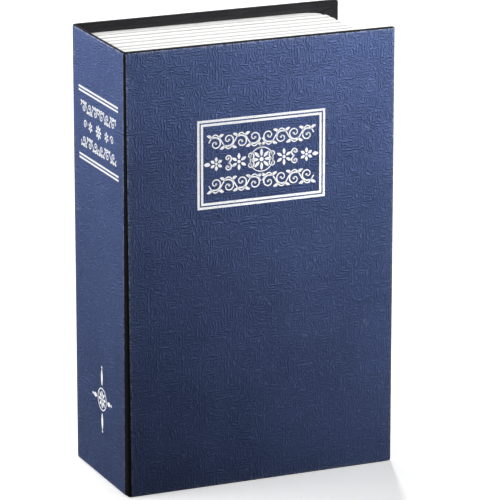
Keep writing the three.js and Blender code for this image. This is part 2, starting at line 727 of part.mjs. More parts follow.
// Bolt, fence and its fingers, one flat stamping
function latchBolt() {
  const y1 = BOLT_Y + BOLT;
  const half = BOLT_WIDTH / 2;
  const bar = block(LOCK_X - STEM_WIDTH, BOLT_TIP, BOLT_Y, y1, BOLT_Z - half, BOLT_Z + half);
  const fence = block(
    FENCE_X,
    FENCE_X + FENCE,
    BOLT_Y,
    y1,
    BOLT_Z,
    LAST_RING,
  );
  const fingers = DIAL_MIDDLES.map((middle) => {
    const z = middle + DIAL_WIDTH / 2 + RING_WIDTH / 2;
    const reach = LOCK_X + RING + DIAL_FIT;
    return block(reach, FENCE_X + FENCE / 2, BOLT_Y, y1, z - FENCE_FINGER / 2, z + FENCE_FINGER / 2);
  });
  return join(bar, fence, ...fingers);
}

function latchKnob() {
  const base = BEZEL_FACE - KNOB_LIFT;
  const top = base - KNOB_HEIGHT;
  const half = KNOB_LENGTH / 2;
  const cap = plate(
    LOCK_X - KNOB_WIDTH / 2,
    LOCK_X + KNOB_WIDTH / 2,
    BOLT_Z - half,
    BOLT_Z + half,
    top,
    base,
    KNOB_CORNER,
  );
  const stem = block(
    LOCK_X - STEM_WIDTH / 2,
    LOCK_X + STEM_WIDTH / 2,
    base - 0.5,
    BOLT_Y,
    BOLT_Z - STEM_LENGTH / 2,
    BOLT_Z + STEM_LENGTH / 2,
  );
  const pitch = KNOB_WIDTH / (KNOB_GRIPS + 1);
  const long = half - GRIP_MARGIN;
  const grips = Array.from({ length: KNOB_GRIPS }, (_, i) => {
    const x = LOCK_X - KNOB_WIDTH / 2 + (i + 1) * pitch;
    return block(x - pitch / 5, x + pitch / 5, top - 1, top + GRIP_DEPTH, BOLT_Z - long, BOLT_Z + long);
  });
  return cut(join(cap, stem), ...grips);
}

function lockScrew([x, z]) {
  const seat = CAVITY.y1 + LOCK_COVER;
  const geometry = screw(LOCK_SCREW, seat - SCREW_TIP, LOCK_SCREW_HEAD, LOCK_SCREW_HEAD_HEIGHT);
  return geometry.rotateX(Math.PI).translate(x, seat, z);
}

// Reset lever: a pad inside the box, a stem through the cover's slot and a flange that keeps it there
function resetLever() {
  const seat = CAVITY.y1 + LOCK_COVER + BUTT;
  const half = RESET_STEM / 2;
  const flange = CAVITY.y1 - BUTT;
  const wide = RESET_WIDTH / 2;
  return join(
    plate(
      RESET_X - wide,
      RESET_X + wide,
      RESET_Z - RESET_LENGTH / 2,
      RESET_Z + RESET_LENGTH / 2,
      seat,
      seat + RESET_HEIGHT,
      RESET_CORNER,
    ),
    block(RESET_X - half, RESET_X + half, flange - RESET_FLANGE, seat + 0.5, RESET_Z - half, RESET_Z + half),
    block(
      RESET_X - wide,
      RESET_X + wide,
      flange - RESET_FLANGE,
      flange,
      RESET_Z - RESET_LENGTH / 2,
      RESET_Z + RESET_LENGTH / 2,
    ),
  );
}

// Colour, roughness and metalness of each material
const finish = (color, roughness, metalness = 0) =>
  new THREE.MeshStandardMaterial({ color, roughness, metalness, flatShading: true });

const greyboard = finish(0x2a2a2b, 0.9);
const bluePaper = finish(0x33487c, 0.6);
const blackLining = finish(0x232323, 0.7);
const blackCloth = finish(0x161617, 0.75);
const whitePlastic = finish(0xf3f3f1, 0.45);
const blackSteel = finish(0x1d1e20, 0.4, 0.6);
const plainSteel = finish(0xb9bcc0, 0.35, 1);
const springSteel = finish(0x8f949b, 0.3, 1);
const brass = finish(0xb08d4a, 0.35, 1);
const dialMetal = finish(0xc9cbce, 0.3, 1);
const blackPlastic = finish(0x18191a, 0.5);

// A named piece of the model
function piece(name, geometry, material) {
  const mesh = new THREE.Mesh(geometry, material);
  mesh.name = name;
  return mesh;
}

function caseBack() {
  const group = new THREE.Group();
  const back = coverSheets(1);
  group.add(
    piece("back_board", back.board, greyboard),
    piece("back_paper", back.paper, bluePaper),
    piece("back_lining", back.lining, blackLining),
    piece("spine_board", spineSheet(PAPER, PAPER + SPINE_BOARD, 0), greyboard),
    piece("spine_paper", spineSheet(0, PAPER, PAPER_MARGIN), bluePaper),
    piece("spine_lining", spineSheet(PAPER + SPINE_BOARD, SPINE, LINING_MARGIN), blackLining),
    piece("back_joint_cloth", jointCloth(1), blackCloth),
    piece("front_joint_cloth", jointCloth(-1), blackCloth),
  );
  return group;
}

function frontCover() {
  const group = new THREE.Group();
  const front = coverSheets(-1);
  group.add(
    piece("front_board", front.board, greyboard),
    piece("front_paper", front.paper, bluePaper),
    piece("front_lining", front.lining, blackLining),
  );
  return group;
}

function cashBox() {
  const group = new THREE.Group();
  group.add(
    piece("page_block", pageBlock(), whitePlastic),
    piece("box_tray", boxTray(), blackSteel),
    piece("hinge_leaf_tray", hingeLeafTray(), blackSteel),
    piece("hinge_pin", hingePin(), plainSteel),
    piece("strike_plate", strikePlate(), plainSteel),
  );
  BOX_SCREWS.forEach((place, i) => group.add(piece(`box_screw_${i + 1}`, boxScrew(place), plainSteel)));
  RIVETS.forEach((z, i) => group.add(piece(`strike_rivet_${i + 1}`, strikeRivet(z), plainSteel)));
  return group;
}

function lidAndLock() {
  const group = new THREE.Group();
  group.add(
    piece("box_lid", boxLid(), blackSteel),
    piece("hinge_leaf_lid", hingeLeafLid(), blackSteel),
    piece("lock_bezel", lockBezel(), blackPlastic),
    piece("lock_housing", lockHousing(), blackPlastic),
    piece("lock_cover", lockCover(), plainSteel),
    piece("dial_axle", dialAxle(), plainSteel),
    piece("detent_spring", detentSpring(), springSteel),
    piece("latch_bolt", latchBolt(), plainSteel),
    piece("latch_knob", latchKnob(), dialMetal),
    piece("reset_lever", resetLever(), blackPlastic),
  );
  DIAL_MIDDLES.forEach((z, i) => {
    group.add(piece(`dial_${i + 1}`, dial(z), dialMetal));
    group.add(piece(`code_ring_${i + 1}`, codeRing(z), brass));
  });
  LOCK_CORNERS.forEach((corner, i) => group.add(piece(`lock_screw_${i + 1}`, lockScrew(corner), plainSteel)));
  return group;
}

const book = new THREE.Group();
book.add(caseBack(), frontCover(), cashBox(), lidAndLock());

export default book;
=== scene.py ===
import math

import bmesh
import bpy
import numpy as np
from bpy.props import FloatProperty, FloatVectorProperty, IntProperty, PointerProperty
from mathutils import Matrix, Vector


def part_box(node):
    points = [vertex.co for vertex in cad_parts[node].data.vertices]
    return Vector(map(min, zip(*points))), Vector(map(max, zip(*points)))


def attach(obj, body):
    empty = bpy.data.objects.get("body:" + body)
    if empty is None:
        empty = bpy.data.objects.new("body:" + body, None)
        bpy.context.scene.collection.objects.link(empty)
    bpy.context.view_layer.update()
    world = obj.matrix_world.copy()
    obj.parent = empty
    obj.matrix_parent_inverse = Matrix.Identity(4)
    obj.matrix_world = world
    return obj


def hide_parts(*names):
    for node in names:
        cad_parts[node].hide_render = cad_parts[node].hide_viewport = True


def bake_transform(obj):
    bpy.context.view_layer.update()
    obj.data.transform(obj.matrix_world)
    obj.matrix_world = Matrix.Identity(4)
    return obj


bl_info = {
    "name": "Book safe dressing",
    "version": (1, 0, 0),
    "blender": (4, 5, 0),
    "location": "View3D > Sidebar > Book safe",
    "description": "Gives a packed book safe its papers, foil, moulded pages, steel box and lock",
    "category": "Object",
}

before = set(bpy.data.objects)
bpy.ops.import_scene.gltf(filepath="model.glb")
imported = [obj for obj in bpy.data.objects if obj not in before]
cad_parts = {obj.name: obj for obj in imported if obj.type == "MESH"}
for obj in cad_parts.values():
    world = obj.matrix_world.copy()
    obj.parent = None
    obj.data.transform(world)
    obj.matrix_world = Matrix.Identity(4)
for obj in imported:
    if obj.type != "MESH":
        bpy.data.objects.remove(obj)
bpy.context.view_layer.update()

# Shapes below are worked out in millimetres and become metres when a mesh is made
MM = 0.001


def box_mm(node):
    """Lowest and highest corner of a CAD node, in millimetres."""
    low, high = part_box(node)
    return np.array(low, float) / MM, np.array(high, float) / MM


def tone(code):
    """A colour written as six hex digits, as the linear values that a shader takes."""
    shares = [int(code[i:i + 2], 16) / 255 for i in (0, 2, 4)]
    return tuple(s / 12.92 if s < 0.04045 else ((s + 0.055) / 1.055) ** 2.4 for s in shares)


def colour(label, note, code):
    """A colour that a user may change."""
    return FloatVectorProperty(name=label, description=note, default=tone(code), size=3, subtype="COLOR",
                               min=0, max=1)


def length(label, note, millimetres):
    """A length that a user may change, with its default in millimetres."""
    return FloatProperty(name=label, description=note, default=millimetres * MM, unit="LENGTH", precision=5)


def angle(label, note, degrees):
    """An angle that a user may change, with its default in degrees."""
    return FloatProperty(name=label, description=note, default=math.radians(degrees), subtype="ANGLE")


# Settings that a user would change

class BookSafeCase(bpy.types.PropertyGroup):
    paper: colour("Cover paper", "Ground colour of the embossed paper", "576795")
    paper_ridge: colour("Paper ridges", "Colour on top of the embossed ridges", "7b93d2")
    wrap: colour("Board wrap", "Dark paper round the boards' edges", "131315")
    lining: colour("Lining", "Dark paper inside the covers", "29292b")
    cloth: colour("Joint cloth", "Book cloth of the two corner joints", "0e0e0f")
    foil: colour("Foil", "Stamped silver foil", "f2f3f5")
    emboss_pitch: length("Emboss pitch", "Distance between two ridges", 1.2)
    emboss_patch: length("Emboss patch", "Width of a patch of ridges that run one way", 6.5)
    edge_round: length("Edge round", "Radius on the boards' edges", 0.45)
    roll_width: length("Fore-edge roll", "Width over which a cover falls away towards its fore-edge", 3.4)
    roll_drop: length("Fore-edge drop", "How far it has fallen at the fore-edge", 0.5)
    turn_in: length("Turn-in", "Width of the wrap folded inside the covers", 12.0)


class BookSafePages(bpy.types.PropertyGroup):
    plastic: colour("Page plastic", "Moulded pages", "dededc")
    # The groove colour is painted shade: the plastic darkened down in the grooves and fine page lines, where
    # shade falls
    groove: colour("Groove", "Plastic down in the grooves", "606066")
    page_pitch: length("Page pitch", "Distance between two fine page lines", 0.52)
    page_depth: length("Page depth", "Depth of the fine page lines", 0.035)


class BookSafeBox(bpy.types.PropertyGroup):
    coat: colour("Box coat", "Powder coat on the steel box", "3f4245")
    zinc: colour("Zinc", "Plated steel parts", "b9bcc1")
    spring: colour("Spring steel", "Detent spring", "8b9097")
    brass: colour("Brass", "Code rings", "b08d4a")
    wheel: colour("Wheel plating", "Satin plating on the wheels and the knob", "c8cacd")
    plastic: colour("Lock plastic", "Moulded lock parts", "2c2d30")
    enamel: colour("Numbers", "Enamel in the wheels' numbers", "0c0c0d")
    number_height: length("Number height", "Height of the numbers on the wheels", 3.4)
    number_steps: IntProperty(name="Number steps", description="Cuts across a number that bend it", default=9)


class BookSafeStage(bpy.types.PropertyGroup):
    floor: colour("Floor", "Floor under its own light", "f2f2f2")
    lens: FloatProperty(name="Lens", description="Focal length in millimetres", default=284.7)
    distance: FloatProperty(name="Distance", description="Camera to target", default=1.585, unit="LENGTH")
    turn: angle("Azimuth", "Camera round the book", -23.41)
    lift: angle("Elevation", "Camera above the book", 15.95)
    fill: FloatProperty(name="Fill", description="Strength of the surrounding light", default=0.014)


def settings(group):
    """One group of the settings, as the scene holds it."""
    return getattr(bpy.context.scene, "book_safe_" + group)


# Mesh tools

# Points nearer to each other than this, in mm, are merged: in a made skin, and in a CAD node's copy
DOUBLES = 0.0005
NODE_DOUBLES = 0.002


def shell(front, back):
    """Two matching grids of points, joined along their rims into one closed skin of quads."""
    rows, columns = front.shape[:2]
    index = np.arange(rows * columns).reshape(rows, columns)
    far = rows * columns
    near = np.stack([index[:-1, :-1], index[1:, :-1], index[1:, 1:], index[:-1, 1:]], -1).reshape(-1, 4)
    rim = np.concatenate([index[0, :-1], index[:-1, -1], index[-1, :0:-1], index[:0:-1, 0]])
    after = np.roll(rim, -1)
    walls = np.stack([rim, after, after + far, rim + far], -1)
    points = np.concatenate([front.reshape(-1, 3), back.reshape(-1, 3)])
    return points, np.concatenate([near, near[:, ::-1] + far, walls])


def ring_grid(points):
    """A grid of points that closes on itself both ways, such as a section carried round a ring."""
    rows, columns = points.shape[:2]
    index = np.arange(rows * columns).reshape(rows, columns)
    down = np.roll(index, -1, 0)
    quads = np.stack([index, down, np.roll(down, -1, 1), np.roll(index, -1, 1)], -1)
    return points.reshape(-1, 3), quads.reshape(-1, 4)


def joined(parts):
    """Several skins as one list of points and one of quads."""
    starts = np.cumsum([0] + [len(points) for points, _ in parts[:-1]])
    points = np.concatenate([points for points, _ in parts])
    return points, np.concatenate([quads + start for start, (_, quads) in zip(starts, parts)])


def facing_out(points, quads):
    """The quads turned over if the skin's signed volume says that it is inside out."""
    a, b, c, d = (points[quads[:, i]] for i in range(4))
    volume = np.einsum("ij,ij->i", a, np.cross(b, c) + np.cross(c, d)).sum()
    return quads if volume > 0 else quads[:, ::-1]


def held(name, data):
    """A new object in the scene that holds a mesh, a text, a lamp or a camera."""
    piece = bpy.data.objects.new(name, data)
    bpy.context.collection.objects.link(piece)
    return piece


def placed(name, mesh, material):
    """A new object that holds a mesh and its material."""
    mesh.materials.append(material)
    return held(name, mesh)


def add_mesh(name, parts, material, attributes=None, sharp=40):
    """A mesh object from skins in millimetres, each turned outwards, with smooth faces and sharp corners."""
    points, quads = joined([(points, facing_out(points, quads)) for points, quads in parts])
    mesh = bpy.data.meshes.new(name)
    mesh.from_pydata((points * MM).tolist(), [], quads.tolist())
    for label, values in (attributes or {}).items():
        mesh.attributes.new(label, "FLOAT", "POINT").data.foreach_set("value", np.asarray(values, np.float32))
    merged(mesh, DOUBLES)
    smoothed(mesh, sharp)
    mesh.update()
    return placed(name, mesh, material)


def merged(mesh, near, flat=None):
    """Merges points nearer than a distance in mm, so that poles and seams close, and joins the faces whose
    angle to each other is less than flat."""
    work = bmesh.new()
    work.from_mesh(mesh)
    bmesh.ops.remove_doubles(work, verts=work.verts, dist=near * MM)
    if flat is not None:
        bmesh.ops.dissolve_limit(work, angle_limit=math.radians(flat), verts=work.verts, edges=work.edges)
    work.to_mesh(mesh)
    work.free()


def smoothed(mesh, sharp):
    """Smooth faces, with the edges past an angle sharp."""
    mesh.polygons.foreach_set("use_smooth", np.ones(len(mesh.polygons), bool))
    mesh.set_sharp_from_angle(angle=math.radians(sharp))


def seat(piece, body, slot, *nodes):
    """Hangs a finished piece on its body, in place of CAD nodes, whose parts it hides. slot is not used."""
    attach(piece, body)
    if nodes:
        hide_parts(*nodes)
    return piece


def lines(start, end, step, border):
    """Grid lines from start to end: at the border distances from each end, then evenly between."""
    border = np.asarray(border, float)
    count = max(2, int(round((end - start - 2 * border[-1]) / step)) + 1)
    inner = np.linspace(start + border[-1], end - border[-1], count)
    return np.concatenate([start + border[:-1], inner, (end - border[:-1])[::-1]])


def quarter(distance, radius):
    """How far a quarter circle of this radius drops at a distance in from its edge."""
    into = np.clip(radius - distance, 0, radius)
    return radius - np.sqrt(np.maximum(radius * radius - into * into, 0))


def rounded_corners(u, v, radius):
    """Moves the points in the two corners at u's far end from a square onto a quarter disc."""
    u, v = u.copy(), v.copy()
    top, right = v.max(), u.max()
    for sign, edge in ((1, top), (-1, v.min())):
        a = (u - (right - radius)) / radius
        b = (v - (edge - sign * radius)) * sign / radius
        inside = (a > 0) & (b > 0)
        pull = np.maximum(a, b) / np.maximum(np.hypot(a, b), 1e-9)
        u = np.where(inside, right - radius + a * pull * radius, u)
        v = np.where(inside, edge - sign * radius + sign * b * pull * radius, v)
    return u, v


def rim_distance(u, v):
    """Distance of each grid point to the nearest side of its grid."""
    return np.minimum(np.minimum(u - u.min(), u.max() - u), np.minimum(v - v.min(), v.max() - v))


def ripple(u, v, size):
    """A slow unevenness from two crossed sines."""
    return size * (np.sin(u / 17 + 1.3 * np.sin(v / 29)) + np.sin(v / 21 + np.sin(u / 13))) / 2


# Shader tools

def put(tree, kind, sockets=None, **choices):
    """A shader node. Sockets are given a value or linked to another node's socket."""
    made = tree.nodes.new("ShaderNode" + kind)
    for key, value in choices.items():
        setattr(made, key, value)
    for key, value in (sockets or {}).items():
        if isinstance(value, bpy.types.NodeSocket):
            tree.links.new(value, made.inputs[key])
        else:
            made.inputs[key].default_value = value
    return made


def calc(tree, operation, *values, clamp=False):
    """A maths node's result, from sockets or numbers."""
    made = put(tree, "Math", dict(enumerate(values)), operation=operation, use_clamp=clamp)
    return made.outputs[0]


def blend_colour(tree, share, low, high):
    """Two colours mixed by a share."""
    made = put(tree, "Mix", {0: share, 6: low, 7: high}, data_type="RGBA")
    return made.outputs[2]


def remap(tree, value, low, high, to_low=0.0, to_high=1.0):
    """A value carried from one range to another along a smooth step."""
    made = put(tree, "MapRange", {0: value, 1: low, 2: high, 3: to_low, 4: to_high},
               interpolation_type="SMOOTHSTEP")
    return made.outputs[0]


def noise(tree, vector, scale, detail, rough=0.55):
    """Cloudy noise in 0 to 1, with scale cells in a millimetre."""
    made = put(tree, "TexNoise", {"Vector": vector, "Scale": scale, "Detail": detail, "Roughness": rough})
    return made.outputs["Fac"]


def stretched(tree, vector, x, y, z):
    """A vector with each axis scaled."""
    made = put(tree, "VectorMath", {0: vector, 1: (x, y, z)}, operation="MULTIPLY")
    return made.outputs[0]


def shared(name, inputs, outputs, fill):
    """A node group, built once, with a Vector and numbers as its inputs and numbers as its outputs.
    fill(tree, inputs, outputs) wires its inside."""
    tree = bpy.data.node_groups.get(name)
    if tree:
        return tree
    tree = bpy.data.node_groups.new(name, "ShaderNodeTree")
    tree.interface.new_socket("Vector", in_out="INPUT", socket_type="NodeSocketVector")
    for label, value in inputs.items():
        socket = tree.interface.new_socket(label, in_out="INPUT", socket_type="NodeSocketFloat")
        socket.default_value = value
    for label in outputs:
        tree.interface.new_socket(label, in_out="OUTPUT", socket_type="NodeSocketFloat")
    entry = tree.nodes.new("NodeGroupInput")
    leave = tree.nodes.new("NodeGroupOutput")
    fill(tree, entry.outputs, leave.inputs)
    return tree


def grouped(tree, group, sockets):
    """A placed node group's outputs, with its inputs set."""
    return put(tree, "Group", sockets, node_tree=group).outputs


# How far the emboss's ridges stray from straight lines, in mm, over the whole range of the noise
EMBOSS_SWAY = 3.4


def emboss_group():
    """Linen emboss: sine ridges that run up in some patches and across in others, with breaks in them."""
    def fill(tree, entry, leave):
        vector = entry["Vector"]
        flat = put(tree, "SeparateXYZ", {0: vector}).outputs
        turns = calc(tree, "DIVIDE", 2 * math.pi, entry["Pitch"])

        def ridges(place, spots, scale, along):
            shift = calc(tree, "SUBTRACT", noise(tree, spots, scale, 2.0), 0.5)
            sway = calc(tree, "MULTIPLY", shift, EMBOSS_SWAY)
            wave = calc(tree, "SINE", calc(tree, "MULTIPLY", calc(tree, "ADD", place, sway), turns))
            ridge = calc(tree, "POWER", calc(tree, "MULTIPLY_ADD", wave, 0.5, 0.5), 1.5)
            breaks = noise(tree, stretched(tree, vector, *along), 0.9, 2.0)
            return calc(tree, "MULTIPLY", ridge, remap(tree, breaks, 0.36, 0.62, 0.12, 1.0))
        upright = ridges(flat[0], vector, 0.42, (1.5, 0.28, 1))
        across = ridges(flat[1], stretched(tree, vector, 1, 1, 5), 0.5, (0.28, 1.5, 1))
        patches = noise(tree, vector, calc(tree, "DIVIDE", 1.0, entry["Patch"]), 1.5, 0.6)
        patch = remap(tree, patches, 0.44, 0.56)
        other = calc(tree, "MULTIPLY", across, calc(tree, "SUBTRACT", 1.0, patch))
        height = calc(tree, "ADD", calc(tree, "MULTIPLY", upright, patch), other)
        grain = noise(tree, vector, 2.2, 2.0)
        rough = calc(tree, "SUBTRACT", grain, 0.5)
        tree.links.new(calc(tree, "MULTIPLY_ADD", grain, 0.45, height), leave["Height"])
        tree.links.new(calc(tree, "MULTIPLY_ADD", rough, 0.5, height, clamp=True), leave["Ridge"])
    return shared("linen emboss", {"Pitch": 0.7, "Patch": 5.0}, ("Height", "Ridge"), fill)


def weave_group():
    """Plain weave: warp and weft take turns on top, each a row of half sines."""
    def fill(tree, entry, leave):
        flat = put(tree, "SeparateXYZ", {0: entry["Vector"]}).outputs
        per = calc(tree, "DIVIDE", math.pi, entry["Pitch"])
        a, b = (calc(tree, "SINE", calc(tree, "MULTIPLY", flat[axis], per)) for axis in (0, 1))
        over = calc(tree, "GREATER_THAN", calc(tree, "MULTIPLY", a, b), 0.0)
        warp = calc(tree, "MULTIPLY", calc(tree, "ABSOLUTE", a), over)
        weft = calc(tree, "MULTIPLY", calc(tree, "ABSOLUTE", b), calc(tree, "SUBTRACT", 1.0, over))
        tree.links.new(calc(tree, "ADD", warp, weft), leave["Height"])
    return shared("plain weave", {"Pitch": 0.4}, ("Height",), fill)


def grain_group():
    """Mottle and grain: a slow cloud that shifts colour and gloss, and a fine noise for the bump."""
    def fill(tree, entry, leave):
        tree.links.new(noise(tree, entry["Vector"], entry["Fine"], 4.0, 0.6), leave["Height"])
        cloud = noise(tree, entry["Vector"], entry["Slow"], 3.0)
        tree.links.new(remap(tree, cloud, 0.3, 0.7), leave["Cloud"])
    return shared("mottle and grain", {"Fine": 4.0, "Slow": 0.05}, ("Height", "Cloud"), fill)


def wear_group():
    """Rubbed wear and painted edge highlights: the edge attribute broken up by noise, and a few scattered
    scuffs of wear.
    """
    def fill(tree, entry, leave):
        patchy = noise(tree, entry["Vector"], 0.6, 4.0, 0.65)
        rubbed = calc(tree, "MULTIPLY", entry["Edge"], remap(tree, patchy, 0.35, 0.65))
        scuff = remap(tree, noise(tree, entry["Vector"], 0.11, 6.0, 0.7), 0.63, 0.74, 0.0, 0.5)
        both = calc(tree, "MAXIMUM", rubbed, scuff)
        tree.links.new(calc(tree, "MULTIPLY", both, entry["Amount"], clamp=True), leave["Mask"])
    return shared("rubbed wear", {"Edge": 0.0, "Amount": 0.5}, ("Mask",), fill)


def brushed_group():
    """Brushed lines: noise drawn out along one axis, for the roughness and bump of metal."""
    def fill(tree, entry, leave):
        drawn = stretched(tree, entry["Vector"], 6, 6, 0.25)
        tree.links.new(noise(tree, drawn, 1.0, 4.0, 0.6), leave["Height"])
        tree.links.new(noise(tree, entry["Vector"], 0.15, 3.0), leave["Cloud"])
    return shared("brushed lines", {}, ("Height", "Cloud"), fill)


def rgba(value, gain=1.0):
    """A colour for a socket, brightened by a gain."""
    return (*[min(1.0, c * gain) for c in value[:3]], 1.0)


class Finish:
    """A material with its shader, and coordinates in millimetres in the object's own frame."""

    def __init__(self, name, roughness, metallic=0.0, specular=0.5):
        self.material = bpy.data.materials.new(name)
        self.material.use_nodes = True
        self.tree = self.material.node_tree
        self.tree.nodes.clear()
        self.shader = put(self.tree, "BsdfPrincipled", {
            "Roughness": roughness, "Metallic": metallic, "Specular IOR Level": specular})
        output = put(self.tree, "OutputMaterial")
        self.tree.links.new(self.shader.outputs[0], output.inputs[0])
        place = put(self.tree, "TexCoord")
        self.vector = stretched(self.tree, place.outputs["Object"], 1 / MM, 1 / MM, 1 / MM)

    def wall(self):
        """Coordinates that lie in an upright face, whichever way it looks: X and Y together, then Z."""
        parts = put(self.tree, "SeparateXYZ", {0: self.vector}).outputs
        across = calc(self.tree, "ADD", parts[0], parts[1])
        return put(self.tree, "CombineXYZ", {0: across, 1: parts[2]}).outputs[0]

    def attribute(self, name):
        """A value that the mesh holds for each point."""
        return put(self.tree, "Attribute", attribute_name=name).outputs["Fac"]

    def link(self, socket, value):
        """Sets the shader's socket from another node's."""
        self.tree.links.new(value, self.shader.inputs[socket])

    def bump(self, height, distance, strength=1.0):
        """Bump of a height in 0 to 1, over a distance in millimetres."""
        made = put(self.tree, "Bump", {"Height": height, "Distance": distance * MM, "Strength": strength})
        self.link("Normal", made.outputs[0])

    def gloss(self, value, spread, least):
        """Roughness that goes with a value: the value times spread, and the least added."""
        self.link("Roughness", calc(self.tree, "MULTIPLY_ADD", value, spread, least))

    def mix(self, share, colour, low, high):
        """A colour at two gains, mixed by a share."""
        return blend_colour(self.tree, share, rgba(colour, low), rgba(colour, high))

    def grain(self, fine, slow=0.05):
        """The shared mottle and grain: its Height and its Cloud."""
        return grouped(self.tree, grain_group(), {"Vector": self.vector, "Fine": fine, "Slow": slow})

    def mottled(self, colour, low, high, fine, slow):
        """Base colour from a colour at two gains, mixed by the shared mottle, whose height and cloud it
        returns."""
        grain = self.grain(fine, slow)
        self.link("Base Color", self.mix(grain["Cloud"], colour, low, high))
        return grain["Height"], grain["Cloud"]

    def emboss(self):
        """The shared linen emboss, at the case's pitch: its Height and its Ridge."""
        case = settings("case")
        return grouped(self.tree, emboss_group(), {
            "Vector": self.wall(), "Pitch": case.emboss_pitch / MM, "Patch": case.emboss_patch / MM})

    def worn(self, base, amount, wear_and_highlight_colour):
        """Base colour with rubbed edges, painted edge highlights and scuffs, where a second colour shows."""
        wear_and_highlight_mask = grouped(self.tree, wear_group(), {
            "Vector": self.vector, "Edge": self.attribute("edge"), "Amount": amount})["Mask"]
        self.link("Base Color", blend_colour(self.tree, wear_and_highlight_mask, base, rgba(tone(wear_and_highlight_colour))))


def cover_paper(name):
    """Embossed paper, dark between the ridges and lighter on them, with a slow mottle and pale edges that are
    partly rubbed wear and partly a painted highlight.
    """
    case = settings("case")
    made = Finish(name, 0.6, specular=0.04)
    emboss = made.emboss()
    ground = made.mix(made.grain(2.0, 0.035)["Cloud"], case.paper, 0.9, 1.1)
    ridge = calc(made.tree, "MULTIPLY", emboss["Ridge"], 0.7)
    # The pale colour along the rims is partly rubbed wear and partly a painted highlight where the paper's
    # edges catch the light
    made.worn(blend_colour(made.tree, ridge, ground, rgba(case.paper_ridge)), 0.7, "bec7dc")
    made.gloss(emboss["Ridge"], -0.14, 0.72)
    made.bump(emboss["Height"], 0.62)
    return made.material


def foil(name):
    """Silver foil, missing in specks where the emboss is deep, so that the paper shows."""
    case = settings("case")
    made = Finish(name, 0.3, 1.0)
    tree = made.tree
    emboss = made.emboss()
    speck = noise(tree, made.vector, 1.7, 4.0, 0.7)
    ridge = calc(tree, "MULTIPLY", emboss["Ridge"], 0.5)
    kept = calc(tree, "ADD", remap(tree, speck, 0.3, 0.42), ridge, clamp=True)
    made.link("Base Color", blend_colour(tree, kept, rgba(case.paper, 1.3), rgba(case.foil)))
    made.link("Metallic", remap(tree, kept, 0.0, 0.6, 0.0, 0.75))
    made.link("Roughness", remap(tree, speck, 0.3, 0.7, 0.42, 0.26))
    made.bump(emboss["Height"], 0.03, 0.6)
    return made.material


def board_wrap(name):
    """Dark wrap round a board's edges, and lining colour on its inner face."""
    case = settings("case")
    made = Finish(name, 0.85, specular=0.08)
    grain = made.grain(3.0)
    outside = made.mix(grain["Cloud"], case.wrap, 1.0, 1.7)
    inside = made.mix(grain["Cloud"], case.lining, 0.75, 1.25)
    made.worn(blend_colour(made.tree, made.attribute("within"), outside, inside), 0.3, "3a3a3b")
    made.gloss(grain["Cloud"], 0.15, 0.78)
    made.bump(grain["Height"], 0.05)
    return made.material


def lining_paper(name):
    """Lining paper, darker in the wrap's colour along its creases."""
    case = settings("case")
    made = Finish(name, 0.8, specular=0.12)
    grain = made.grain(5.0, 0.04)
    sheet = made.mix(grain["Cloud"], case.lining, 0.75, 1.25)
    made.link("Base Color", blend_colour(made.tree, made.attribute("crease"), sheet, rgba(case.wrap, 1.1)))
    made.gloss(grain["Cloud"], 0.15, 0.7)
    made.bump(grain["Height"], 0.06)
    return made.material


def joint_cloth(name):
    """Book cloth: a plain weave, darker in its gaps, rubbed at its ends, with a painted highlight along the
    ridge of its corner.
    """
    made = Finish(name, 0.8, specular=0.05)
    weave = grouped(made.tree, weave_group(), {"Vector": made.wall(), "Pitch": 0.42})["Height"]
    made.worn(made.mix(weave, settings("case").cloth, 0.6, 1.8), 0.3, "2e2e30")
    made.bump(weave, 0.05)
    return made.material


def page_plastic(name):
    """Pale moulded plastic, with painted shade down in the grooves and fine lines between pages."""
    pages = settings("pages")
    made = Finish(name, 0.6, specular=0.04)
    grain = made.grain(3.0)
    clean = made.mix(grain["Cloud"], pages.plastic, 0.985, 1.0)
    # The groove attribute is painted shade in the grooves and the fine page lines
    made.link("Base Color", blend_colour(made.tree, made.attribute("groove"), clean, rgba(pages.groove)))
    made.gloss(grain["Cloud"], 0.12, 0.6)
    made.bump(grain["Height"], 0.02)
    return made.material


def powder_coat(name):
    """Orange-peel coat: Voronoi cells under fine noise."""
    made = Finish(name, 0.42, specular=0.45)
    height, cloud = made.mottled(settings("box").coat, 0.85, 1.25, 2.5, 0.06)
    cells = put(made.tree, "TexVoronoi", {"Vector": made.vector, "Scale": 1.4}, feature="SMOOTH_F1")
    made.gloss(cloud, 0.14, 0.36)
    made.bump(calc(made.tree, "MULTIPLY_ADD", cells.outputs[0], 0.8, height), 0.045)
    return made.material


def moulded(name):
    """Moulded plastic with a fine spark-eroded texture."""
    made = Finish(name, 0.45, specular=0.45)
    height, cloud = made.mottled(settings("box").plastic, 0.85, 1.3, 7.0, 0.08)
    made.gloss(cloud, 0.1, 0.4)
    made.bump(height, 0.03)
    return made.material


def enamel(name):
    """Dark enamel of the wheels' numbers."""
    made = Finish(name, 0.25)
    height, cloud = made.mottled(settings("box").enamel, 1.0, 2.0, 6.0, 0.3)
    made.gloss(cloud, 0.15, 0.2)
    made.bump(height, 0.01)
    return made.material


def index_paint(name):
    """White paint filled into the bezel's index marks."""
    made = Finish(name, 0.4, specular=0.3)
    grain = made.grain(5.0, 0.3)
    dull, clear = rgba(tone("cfcfcb")), rgba(tone("dededa"))
    made.link("Base Color", blend_colour(made.tree, grain["Cloud"], dull, clear))
    made.gloss(grain["Cloud"], 0.15, 0.35)
    made.bump(grain["Height"], 0.02)
    return made.material


def metal(name, code, roughness, spread):
    """Brushed or plated metal, from its colour's setting, its roughness and how far that varies."""
    made = Finish(name, roughness, 1.0)
    lined = grouped(made.tree, brushed_group(), {"Vector": made.vector})
    made.link("Base Color", made.mix(lined["Cloud"], getattr(settings("box"), code), 0.8, 1.1))
    made.gloss(lined["Height"], spread, roughness - spread / 2)
    made.bump(lined["Height"], 0.012)
    return made.material


